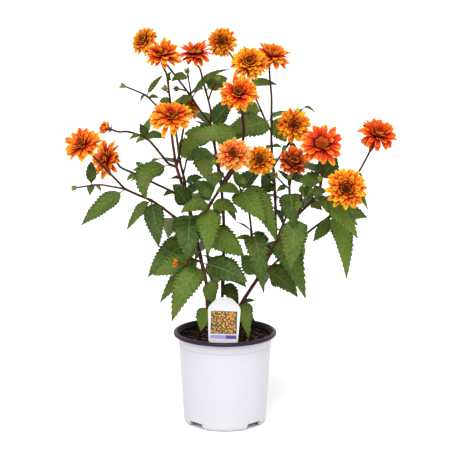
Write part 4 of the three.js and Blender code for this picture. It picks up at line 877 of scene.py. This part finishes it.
# each form of bloom: the layers it has, its petals' finish, its inner florets' finish, and how many
# florets there are on a disc of 5 mm, how high they stand and their size, in mm
forms = {
    "open": ("open", "openPetal", "floret", 80, 0.55, 0.95),
    "ember": ("star", "emberPetal", "rustFloret", 80, 0.5, 0.95),
    "cupped": ("cupped", "openPetal", "floret", 80, 0.55, 0.95),
    "redCupped": ("cupped", "emberPetal", "floret", 80, 0.55, 0.95),
    "rusty": ("cupped", "rustPetal", "floret", 80, 0.55, 0.95),
    "dense": ("dense", "densePetal", "floret", 64, 0.5, 1.0),
    "full": ("full", "openPetal", "floret", 64, 0.5, 1.0),
    "peach": ("full", "peachPetal", "floret", 64, 0.5, 1.0),
    "bud": ("bud", "densePetal", "floret", 0, 0, 0),
}


def bloomDisc(bloom, seat, turn, draw):
    name, _, _, _, _, radius, form = bloom
    _, _, inner, count, dome, size = forms[form]
    shape = startShape()
    body = Matrix.Translation(seat) @ turn.to_matrix().to_4x4() @ Matrix.Diagonal((1, 1, dome, 1))
    bmesh.ops.create_uvsphere(shape, u_segments=16, v_segments=8, radius=radius * 0.96 * mm, matrix=body)
    bmesh.ops.bisect_plane(shape, geom=shape.verts[:] + shape.edges[:] + shape.faces[:], plane_co=seat,
                           plane_no=turn @ -up, clear_outer=True)
    bmesh.ops.holes_fill(shape, edges=[edge for edge in shape.edges if edge.is_boundary])
    count = round(count * (radius / 5) ** 1.2)
    size *= (radius / 5) ** 0.35
    addFlorets(shape, seat, turn, count, radius * 0.93, radius * dome * 0.95, size, draw, 0, 1)
    piece = newPiece("disc_" + name, shape, [finishes[inner], finishes["goldFloret"]])
    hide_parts(f"bloom_{name}_disc")


# petals
# each layer of a bloom, from the outside in: petals, lift in degrees, length and width as shares
# of the bloom's reach, and how far the tip droops
petalLayers = {
    "open": [(13, -4, 1.0, 0.26, 8), (12, 7, 0.98, 0.26, 8), (12, 20, 0.90, 0.25, 4),
             (9, 38, 0.66, 0.21, -4), (7, 58, 0.42, 0.17, -8)],
    "cupped": [(11, -14, 0.94, 0.27, 14), (12, 6, 1.02, 0.28, 10), (12, 22, 1.0, 0.27, 6),
               (10, 38, 0.90, 0.25, 0), (8, 54, 0.68, 0.21, -4), (5, 68, 0.42, 0.18, -8)],
    "dense": [(14, -6, 1.02, 0.25, 8), (14, 5, 0.98, 0.25, 8), (13, 17, 0.87, 0.24, 4),
              (12, 31, 0.71, 0.22, 0), (9, 47, 0.53, 0.20, -6), (7, 64, 0.36, 0.17, -12)],
    "star": [(12, -4, 1.02, 0.25, 8), (11, 7, 0.98, 0.25, 6), (9, 20, 0.84, 0.23, 2),
             (6, 38, 0.5, 0.19, -4)],
    "full": [(15, -6, 1.02, 0.235, 12), (15, 5, 0.96, 0.235, 10), (13, 17, 0.84, 0.22, 4),
             (10, 33, 0.66, 0.20, -2), (8, 52, 0.46, 0.17, -8)],
    "bud": [(6, 36, 1.0, 0.52, -14), (5, 56, 0.8, 0.46, -16)],
}
petal = {
    "thickness": 0.3, "rootWidth": 0.42, "notch": 0.07, "cup": 0.24, "taper": 0.3, "rows": 5, "columns": 4,
    "ragged": 12,  # degrees that a petal may stand off its layer's lift
    "shorter": 0.24,  # share of its length that a petal may lack
    "astray": 0.26,  # share of a petal's room that it may stray sideways
    "neat": 0.5,  # how much of that a dense bloom shows
}


def addPetal(shape, seat, turn, angle, inner, level, reach, width, lift, droop, draw):
    lift, droop = math.radians(lift), math.radians(droop)
    skew = draw.uniform(-0.13, 0.13)
    notch = petal["notch"] * draw.uniform(0.4, 1.4)
    roll = draw.uniform(-0.5, 0.5)

    def rule(across, along):
        along = 1 - (1 - along) ** 1.4
        rise = lift - droop * along * along * 1.4
        middle = (lift + rise) / 2
        tip = 1 - notch * abs(math.cos(across * math.pi)) if along > 0.99 else 1
        far = reach * along * tip * (1 - 0.10 * across * across * along)
        grown = math.sin(min(1, along * 1.35) * math.pi / 2)
        half = width / 2 * (petal["rootWidth"] + (1 - petal["rootWidth"]) * grown)
        half *= 1 - petal["taper"] * max(0, along - 0.72) / 0.28
        curl = petal["cup"] * half * across * across * (1 - 0.5 * along)
        spot = Vector((inner + far * math.cos(middle) - curl * math.sin(rise), skew * far - across * half,
                       level + far * math.sin(middle) + curl * math.cos(rise) + roll * across * half * along))
        return seat + turn @ (Quaternion(up, angle) @ (spot * mm))

    addSheet(shape, petal["columns"], petal["rows"], rule, draw.random())


def bloomPetals(bloom, seat, turn, draw):
    name, _, reach, _, _, disc, form = bloom
    shape = startShape()
    deep = coreDepth(form)
    place = Matrix.Translation(seat) @ turn.to_matrix().to_4x4() @ Matrix.Translation((0, 0, -deep * mm / 2))
    inner = disc + core["clearance"]
    bmesh.ops.create_cone(shape, cap_ends=True, segments=20, radius1=inner * 0.9 * mm,
                          radius2=inner * mm * 0.98, depth=deep * mm, matrix=place)
    layers, front = petalLayers[forms[form][0]], finishes[forms[form][1]]
    wild = petal["neat"] if form == "dense" else 1
    for number, (count, lift, length, width, droop) in enumerate(layers):
        level = -deep + (number + 0.5) / len(layers) * deep
        start = draw.random() * 6.28
        for step in range(count):
            ragged, astray = petal["ragged"] * wild, petal["astray"] * wild
            angle = start + (step + draw.uniform(-astray, astray)) / count * 2 * math.pi
            grown = (reach - inner) * length * (1 - wild * draw.uniform(0, petal["shorter"]))
            wide = reach * width * draw.uniform(0.85, 1.1)
            rise, sag = lift + draw.uniform(-ragged, ragged), droop + draw.uniform(-ragged, ragged)
            addPetal(shape, seat, turn, angle, inner * 0.9, level, grown, wide, rise, sag, draw)
    piece = newPiece("petals_" + name, shape, [front, finishes["petalBack"]])
    thicken(piece, petal["thickness"], 1)
    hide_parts(f"bloom_{name}_petals")


def sepalsAndBuds(stemName):
    shape, florets = startShape(), startShape()
    draw = random.Random("sepals " + stemName)
    for name, owner, _, end, _ in shoots:
        if owner != stemName:
            continue
        if end == "bud":
            addBud(shape, florets, lines[name], draw, finish=1 if "red" in name else 0)
        elif end.startswith("bloom"):
            _, spot, _, turn, lift, disc, form = bloomNamed[end[-2:]]
            toFace = up.rotation_difference(bloomAxis(turn, lift))
            seat = placed(spot) - bloomAxis(turn, lift) * (coreDepth(form) + stem["gap"]) * mm
            size = sepal["openingSize"] if form == "bud" else 1
            foot, deep, length, width, sunk = [sepal[key] * size for key in (
                "cupFoot", "cupDepth", "length", "width", "sunk")]
            addCup(shape, seat, toFace, foot, (disc - 0.4) * size, deep)
            addSepals(shape, seat - bloomAxis(turn, lift) * sunk * mm, toFace, sepal["count"], length, width,
                      (disc - 1.6) * size, sepal["lift"], draw)
    piece = newPiece("sepals_" + stemName, shape, [finishes["sepal"], finishes["budSepal"]])
    thicken(piece, sepal["thickness"])
    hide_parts("stem_" + stemName)
    if len(florets.verts):
        tufts = newPiece("bud_florets_" + stemName, florets, [finishes["budFloret"], finishes["rustFloret"]])
        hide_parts("stem_" + stemName)
    else:
        florets.free()


for stemName in ("left", "centre", "front", "low", "right"):
    stemTubes(stemName)
    leafBlades(stemName)
    sepalsAndBuds(stemName)
    print("leafy stem", stemName)

for bloom in blooms:
    draw = random.Random("bloom " + bloom[0])
    seat = placed(bloom[1])
    turn = up.rotation_difference(bloomAxis(bloom[3], bloom[4]))
    bloomPetals(bloom, seat, turn, draw)
    if bloom[6] != "bud":
        bloomDisc(bloom, seat, turn, draw)
print("blooms", len(blooms))

# pot
pot = {
    "height": 149, "lipRadius": 82.5, "lipHeight": 6, "lipInside": 76.5, "topRadius": 74.8,
    "bandHeight": 15, "bandStep": 0.6, "baseRadius": 65.5, "cornerRadius": 5, "wall": 2.4,
    "footHeight": 10, "footWidth": 6, "floorThickness": 2.4, "notchHalfAngle": 15, "notchTopHalfAngle": 11,
    "steps": 120,
    "lipEdge": 1.6,  # rounding of the lip's lower and inner edges
    "lipCurl": 3.2,  # and of its outer top edge
    "ridges": 84,  # fine ridges around the foot
    "ridgeTop": 7.5,
    "shade": 1.6,  # half the width of the painted shade, a darker ring painted along the band's groove
}


def potRadius(level):
    share = level / (pot["height"] - pot["lipHeight"])
    return pot["baseRadius"] + (pot["topRadius"] - pot["baseRadius"]) * share


def spun(outline, steps):
    shape = bmesh.new()
    verts = [shape.verts.new((radius * mm, 0, level * mm)) for radius, level in outline]
    edges = [shape.edges.new(pair) for pair in zip(verts, verts[1:])]
    bmesh.ops.spin(shape, geom=verts + edges, cent=(0, 0, 0), axis=(0, 0, 1), angle=2 * math.pi, steps=steps,
                   use_merge=True)
    bmesh.ops.remove_doubles(shape, verts=shape.verts, dist=1e-6)
    bmesh.ops.recalc_face_normals(shape, faces=shape.faces)
    bmesh.ops.transform(shape, matrix=Matrix.Translation(potMiddle), verts=shape.verts)
    return shape


def rounded(corner, radius, first, last, parts=5):
    turns = [math.radians(first + (last - first) * part / parts) for part in range(parts + 1)]
    return [(corner[0] + radius * math.cos(turn), corner[1] + radius * math.sin(turn)) for turn in turns]


def potShell():
    lipFoot = pot["height"] - pot["lipHeight"]
    bandFoot = lipFoot - pot["bandHeight"]
    floorTop = pot["footHeight"] + pot["floorThickness"]
    corner, edge, curl, top = pot["cornerRadius"], pot["lipEdge"], pot["lipCurl"], pot["height"]
    outline = [(0, pot["footHeight"]), (pot["baseRadius"] - pot["footWidth"], pot["footHeight"]),
               (pot["baseRadius"] - pot["footWidth"], 0)]
    outline += rounded((potRadius(corner) - corner, corner), corner, -80, 0)
    outline += [(potRadius(bandFoot - 1.2) - pot["bandStep"] * 0.4, bandFoot - 1.2),
                (potRadius(bandFoot) - pot["bandStep"], bandFoot), (potRadius(bandFoot + 2), bandFoot + 2)]
    outline += [(potRadius(lipFoot), lipFoot)]
    outline += rounded((pot["lipRadius"] - edge, lipFoot + edge), edge, -90, 0, 4)
    outline += rounded((pot["lipRadius"] - curl, top - curl), curl, 0, 90, 6)
    outline += rounded((pot["lipInside"] + edge, top - edge), edge, 90, 180, 4)
    outline += [(potRadius(lipFoot) - pot["wall"], lipFoot),
                (potRadius(floorTop) - pot["wall"], floorTop), (0, floorTop)]
    return spun(outline, pot["steps"])


def notchCutter():
    shape = bmesh.new()
    for quarter in range(4):
        low, high = [pot["baseRadius"] * math.tan(math.radians(pot[key]))
                     for key in ("notchHalfAngle", "notchTopHalfAngle")]
        reach = (pot["baseRadius"] - pot["footWidth"] * 2, pot["baseRadius"] + pot["footWidth"] * 2)
        corners = [(-low, -1), (low, -1), (high, pot["footHeight"]), (-high, pot["footHeight"])]
        face = shape.faces.new([shape.verts.new(Vector((reach[0], y, z)) * mm) for y, z in corners])
        grown = bmesh.ops.extrude_face_region(shape, geom=[face])["geom"]
        moved = [part for part in grown if isinstance(part, bmesh.types.BMVert)]
        bmesh.ops.translate(shape, vec=((reach[1] - reach[0]) * mm, 0, 0), verts=moved)
        whole = {*face.verts, *moved}
        place = Matrix.Translation(potMiddle) @ Matrix.Rotation(math.pi / 4 + quarter * math.pi / 2, 4, "Z")
        bmesh.ops.transform(shape, matrix=place, verts=list(whole))
    bmesh.ops.recalc_face_normals(shape, faces=shape.faces)
    return shape


def potFinish():
    made = Finish("pot outside")
    across, back, level = made.axes(made.place())
    angle = made.node("Math", {"operation": "ARCTAN2"}, {0: back - potMiddle.y, 1: across - potMiddle.x})
    low = ((pot["ridgeTop"] * mm - level) / (2 * mm)).held()
    ridges = ((angle * pot["ridges"]).sine() * 0.5 + 0.5) * low
    cloud = made.speckle(0.03, 2)
    bandFoot = (pot["height"] - pot["lipHeight"] - pot["bandHeight"]) * mm
    # painted shade: the pot's white is darkened in a soft ring along the band's groove, where the step would
    # shade it
    groove = (1 - abs(level - bandFoot) / (pot["shade"] * mm)).held() * 0.36
    white = made.mixed(cloud, (0.500, 0.495, 0.528), (0.472, 0.468, 0.505))
    color = made.mixed(groove, white, (0.24, 0.235, 0.26))
    return made.surface(color, 0.42 + cloud * 0.1, {"Specular IOR Level": 0.45}, made.bumped(ridges, 0.0009))


def makePot():
    lipFoot = (pot["height"] - pot["lipHeight"] - 0.05) * mm
    blank = newPiece("notch cutter", notchCutter(), [])
    blank.parent = None
    shell = potShell()
    for face in shell.faces:
        middle = face.calc_center_median()
        out = (middle - potMiddle).xy.length
        inside = out < potRadius(middle.z / mm) * mm - 0.5 * mm and middle.z > (pot["footHeight"] + 1) * mm
        face.material_index = 2 if inside else 1 if middle.z > lipFoot else 0
    rim = plainFinish("pot lip", (0.026, 0.016, 0.034), 0.3, 0.004, 0.3, gloss=0.12)
    inner = plainFinish("pot inside", (0.012, 0.008, 0.009), 0.5, 0.004, 0.3, gloss=0.08)
    piece = newPiece("pot_shell", shell, [potFinish(), rim, inner])
    cut = piece.modifiers.new("notches", "BOOLEAN")
    cut.operation, cut.object, cut.solver = "DIFFERENCE", blank, "EXACT"
    bpy.context.view_layer.update()
    whole = bpy.data.meshes.new_from_object(piece.evaluated_get(bpy.context.evaluated_depsgraph_get()))
    piece.modifiers.clear()
    piece.data = whole
    bpy.data.objects.remove(blank)
    piece.data.set_sharp_from_angle(angle=math.radians(34))
    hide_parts("pot")


makePot()
print("pot")

# soil
soil = {"level": 139, "rise": 3, "sunk": 1.2, "rings": 22, "segments": 72, "lump": 2.4, "margin": 0.8}
bark = {
    "chips": 620, "length": (2, 7.5), "width": (1, 3.2), "height": (0.6, 1.8), "jag": 0.35, "tilt": 0.5,
    "perliteSize": (1.6, 1.4, 1.2),
    "tones": [("dark bark", (0.016, 0.008, 0.005)), ("brown bark", (0.105, 0.044, 0.022)),
              ("pale bark", (0.27, 0.120, 0.055)), ("perlite", (0.55, 0.50, 0.44))],
    "shares": (50, 30, 17, 3),  # of the chips in each tone
}


def soilHeight(x, y):
    out = math.hypot(x, y) / pot["lipInside"]
    rough = noise.noise(Vector((x * 0.09, y * 0.09, 3))) + 0.5 * noise.noise(Vector((x * 0.3, y * 0.3, 7)))
    return soil["level"] + soil["rise"] * (1 - out * out) - soil["sunk"] + soil["lump"] * rough


def makeSoil():
    edge = potRadius(soil["level"]) - pot["wall"] - soil["margin"]
    floorTop = pot["footHeight"] + pot["floorThickness"] + 0.5
    outline = [(0, floorTop), (potRadius(floorTop) - pot["wall"] - soil["margin"], floorTop)]
    outline += [(edge * (1 - ring / soil["rings"]), soil["level"]) for ring in range(soil["rings"] + 1)]
    shape = spun(outline, soil["segments"])
    for vert in shape.verts:
        if vert.co.z > (soil["level"] - 1) * mm:
            flat = (vert.co - potMiddle) / mm
            vert.co.z = soilHeight(flat.x, flat.y) * mm
    peat = plainFinish("peat", (0.017, 0.009, 0.006), 0.95, 0.003, 0.75, 0.0012, 0.1)
    bed = newPiece("soil_bed", shape, [peat])
    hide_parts("soil")
    addChips(edge)


def addChips(edge):
    draw = random.Random("chips")
    shape = startShape()
    jag, tilt = bark["jag"], bark["tilt"]
    for _ in range(bark["chips"]):
        out, angle = (edge - 3) * math.sqrt(draw.random()), draw.uniform(0, 2 * math.pi)
        x, y = out * math.cos(angle), out * math.sin(angle)
        size = [draw.uniform(*bark[side]) for side in ("length", "width", "height")]
        tone = draw.choices(range(4), bark["shares"])[0]
        if tone == 3:
            size = bark["perliteSize"]
        spin = Euler((draw.uniform(-tilt, tilt), draw.uniform(-tilt, tilt), draw.uniform(0, 6.28)))
        place = Matrix.Translation(potMiddle + Vector((x, y, soilHeight(x, y) + 0.5)) * mm)
        place @= spin.to_matrix().to_4x4()
        made = bmesh.ops.create_cube(shape, size=mm, matrix=place @ Matrix.Diagonal((*size, 1)))["verts"]
        for vert in made:
            vert.co += Vector([draw.uniform(-jag, jag) for _ in range(3)]) * mm
        for face in {face for vert in made for face in vert.link_faces}:
            face.material_index = tone
    barks = [plainFinish(name, color, 0.9, 0.002, 0.5, 0.0004, 0.1) for name, color in bark["tones"]]
    chips = newPiece("bark_chips", shape, barks, False)
    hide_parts("soil")


makeSoil()
print("soil")

# tag
tag = {
    "at": (-3, -57), "width": 51, "bottomWidth": 46, "height": 74, "shoulder": 20, "thickness": 1.1,
    "bottomLevel": 141.5, "stakeWidth": 14, "stakeDepth": 22, "leanBack": 5, "tiltRight": 2,
    "panel": (-20.5, 16, 20.5, 52), "band": (-20.5, 8.5, 20.5, 14.2), "split": 0.6, "print": 0.08,
    "rows": 9, "columns": 11, "inset": 2.6, "stray": 1.5, "flower": (0.9, 2.0), "waist": 0.62,
    "inks": [("green ink", (0.030, 0.085, 0.022)), ("orange ink", (0.92, 0.18, 0.02)),
             ("amber ink", (0.95, 0.36, 0.03)), ("lilac ink", (0.36, 0.30, 0.68)),
             ("violet ink", (0.10, 0.06, 0.36))],
}


def tagPlace():
    lean = Euler((-math.radians(tag["leanBack"]), math.radians(tag["tiltRight"]), 0)).to_matrix().to_4x4()
    flat = Vector((*tag["at"], tag["bottomLevel"])) * mm + potMiddle
    return Matrix.Translation(flat) @ lean @ Matrix.Rotation(math.pi / 2, 4, "X")


def tagOutline():
    half, low, stake = tag["width"] / 2, tag["bottomWidth"] / 2, tag["stakeWidth"] / 2
    top, shoulder = tag["height"], tag["height"] - tag["shoulder"]
    right = [(stake, -tag["stakeDepth"]), (stake, 0), (low - 4, 0), (low, 4), (half, shoulder)]
    right += [(half - 0.6, shoulder + 3), (half - 2.6, shoulder + 6.5), (half - 6.5, shoulder + 11),
              (half - 11, shoulder + 15.5), (half * 0.4, top - 1.5), (half * 0.2, top - 0.4)]
    return right + [(0, top)] + [(-x, y) for x, y in reversed(right)]


def addPlate(shape, outline, low, high, tone):
    face = shape.faces.new([shape.verts.new(Vector((x, y, low)) * mm) for x, y in outline])
    face.material_index = tone
    grown = bmesh.ops.extrude_face_region(shape, geom=[face])["geom"]
    moved = [part for part in grown if isinstance(part, bmesh.types.BMVert)]
    bmesh.ops.translate(shape, vec=(0, 0, (high - low) * mm), verts=moved)
    for part in grown:
        if isinstance(part, bmesh.types.BMFace):
            part.material_index = tone


def box(left, low, right, high):
    return [(left, low), (right, low), (right, high), (left, high)]


def rosette(x, y, radius, turn):
    points = []
    for step in range(16):
        angle = turn + step / 16 * 2 * math.pi
        out = radius * (1 if step % 2 else tag["waist"])
        points.append((x + out * math.cos(angle), y + out * math.sin(angle)))
    return points


def makeCard(face):
    card = bmesh.new()
    addPlate(card, tagOutline(), -face, face, 0)
    bmesh.ops.recalc_face_normals(card, faces=card.faces)
    bmesh.ops.transform(card, matrix=tagPlace(), verts=card.verts)
    white = plainFinish("white card", (0.66, 0.65, 0.645), 0.38, 0.01, 0.03)
    piece = newPiece("tag_card", card, [white], False)
    trim = piece.modifiers.new("edge", "BEVEL")
    trim.width, trim.segments, trim.limit_method = 0.25 * mm, 2, "ANGLE"
    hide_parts("tag")


def makePrint(face):
    draw = random.Random("tag")
    shape = bmesh.new()
    left, low, right, high = tag["panel"]
    rows, columns, inset, stray = [tag[key] for key in ("rows", "columns", "inset", "stray")]
    addPlate(shape, box(left, low, right, high), face - 0.2, face + tag["print"], 0)
    for row in range(rows):
        for column in range(columns):
            x = left + inset + (right - left - 2 * inset) * (column + (row % 2) * 0.5) / (columns - 0.5)
            y = low + inset + (high - low - 2 * inset) * row / (rows - 1)
            x, y = x + draw.uniform(-stray, stray), y + draw.uniform(-stray, stray)
            raised = face + tag["print"] * (1.5 + 0.1 * (column % 3) + 0.3 * (row % 2))
            flower = rosette(x, y, draw.uniform(*tag["flower"]), draw.random())
            addPlate(shape, flower, face, raised, 1 + draw.randrange(2))
    left, low, right, high = tag["band"]
    split = left + (right - left) * tag["split"]
    addPlate(shape, box(left, low, split, high), face - 0.2, face + tag["print"], 3)
    addPlate(shape, box(split, low, right, high), face - 0.2, face + tag["print"], 4)
    bmesh.ops.recalc_face_normals(shape, faces=shape.faces)
    bmesh.ops.transform(shape, matrix=tagPlace(), verts=shape.verts)
    inks = [plainFinish(name, color, 0.4, 0.004, 0.25) for name, color in tag["inks"]]
    printed = newPiece("tag_print", shape, inks, False)
    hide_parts("tag")


makeCard(tag["thickness"] / 2)
makePrint(tag["thickness"] / 2)
print("tag")

# floor, light and camera
studio = {
    "floor": 90, "world": 0.90,
    "sun": 2.7, "sunFrom": (-0.14, -0.8, 1.0), "sunSoftness": 45,
    "fill": 0.35, "fillFrom": (0.9, -0.6, 0.5), "fillSoftness": 60,
}


def makeFloor():
    shape = bmesh.new()
    bmesh.ops.create_grid(shape, x_segments=1, y_segments=1, size=studio["floor"] / 2)
    made = Finish("studio floor")
    floor = newPiece("floor", shape, [made.surface((0.95, 0.95, 0.95), 0.9)], False)
    floor.parent = None


def addSun(name, source, strength, softness):
    lamp = bpy.data.lights.new(name, "SUN")
    lamp.energy, lamp.angle = strength, math.radians(softness)
    holder = bpy.data.objects.new(name, lamp)
    holder.rotation_euler = (-Vector(source)).to_track_quat("-Z", "Y").to_euler()
    bpy.context.scene.collection.objects.link(holder)


def makeCamera():
    lens = bpy.data.cameras.new("camera")
    lens.sensor_width = view["sensor"]
    lens.lens = view["focal"] / view["frame"] * view["sensor"]
    camera = bpy.data.objects.new("camera", lens)
    camera.location = potMiddle + Vector((0, -view["distance"], view["height"])) * mm
    camera.rotation_euler = (math.pi / 2 - view["pitch"], 0, 0)
    bpy.context.scene.collection.objects.link(camera)
    bpy.context.scene.camera = camera


def makeWorld():
    world = bpy.data.worlds.new("studio")
    world.use_nodes = True
    world.node_tree.nodes["Background"].inputs["Color"].default_value = (1, 1, 1, 1)
    world.node_tree.nodes["Background"].inputs["Strength"].default_value = studio["world"]
    bpy.context.scene.world = world
    bpy.context.scene.view_settings.view_transform = "Standard"


makeFloor()
makeWorld()
makeCamera()
addSun("key", studio["sunFrom"], studio["sun"], studio["sunSoftness"])
addSun("fill", studio["fillFrom"], studio["fill"], studio["fillSoftness"])
print("studio")
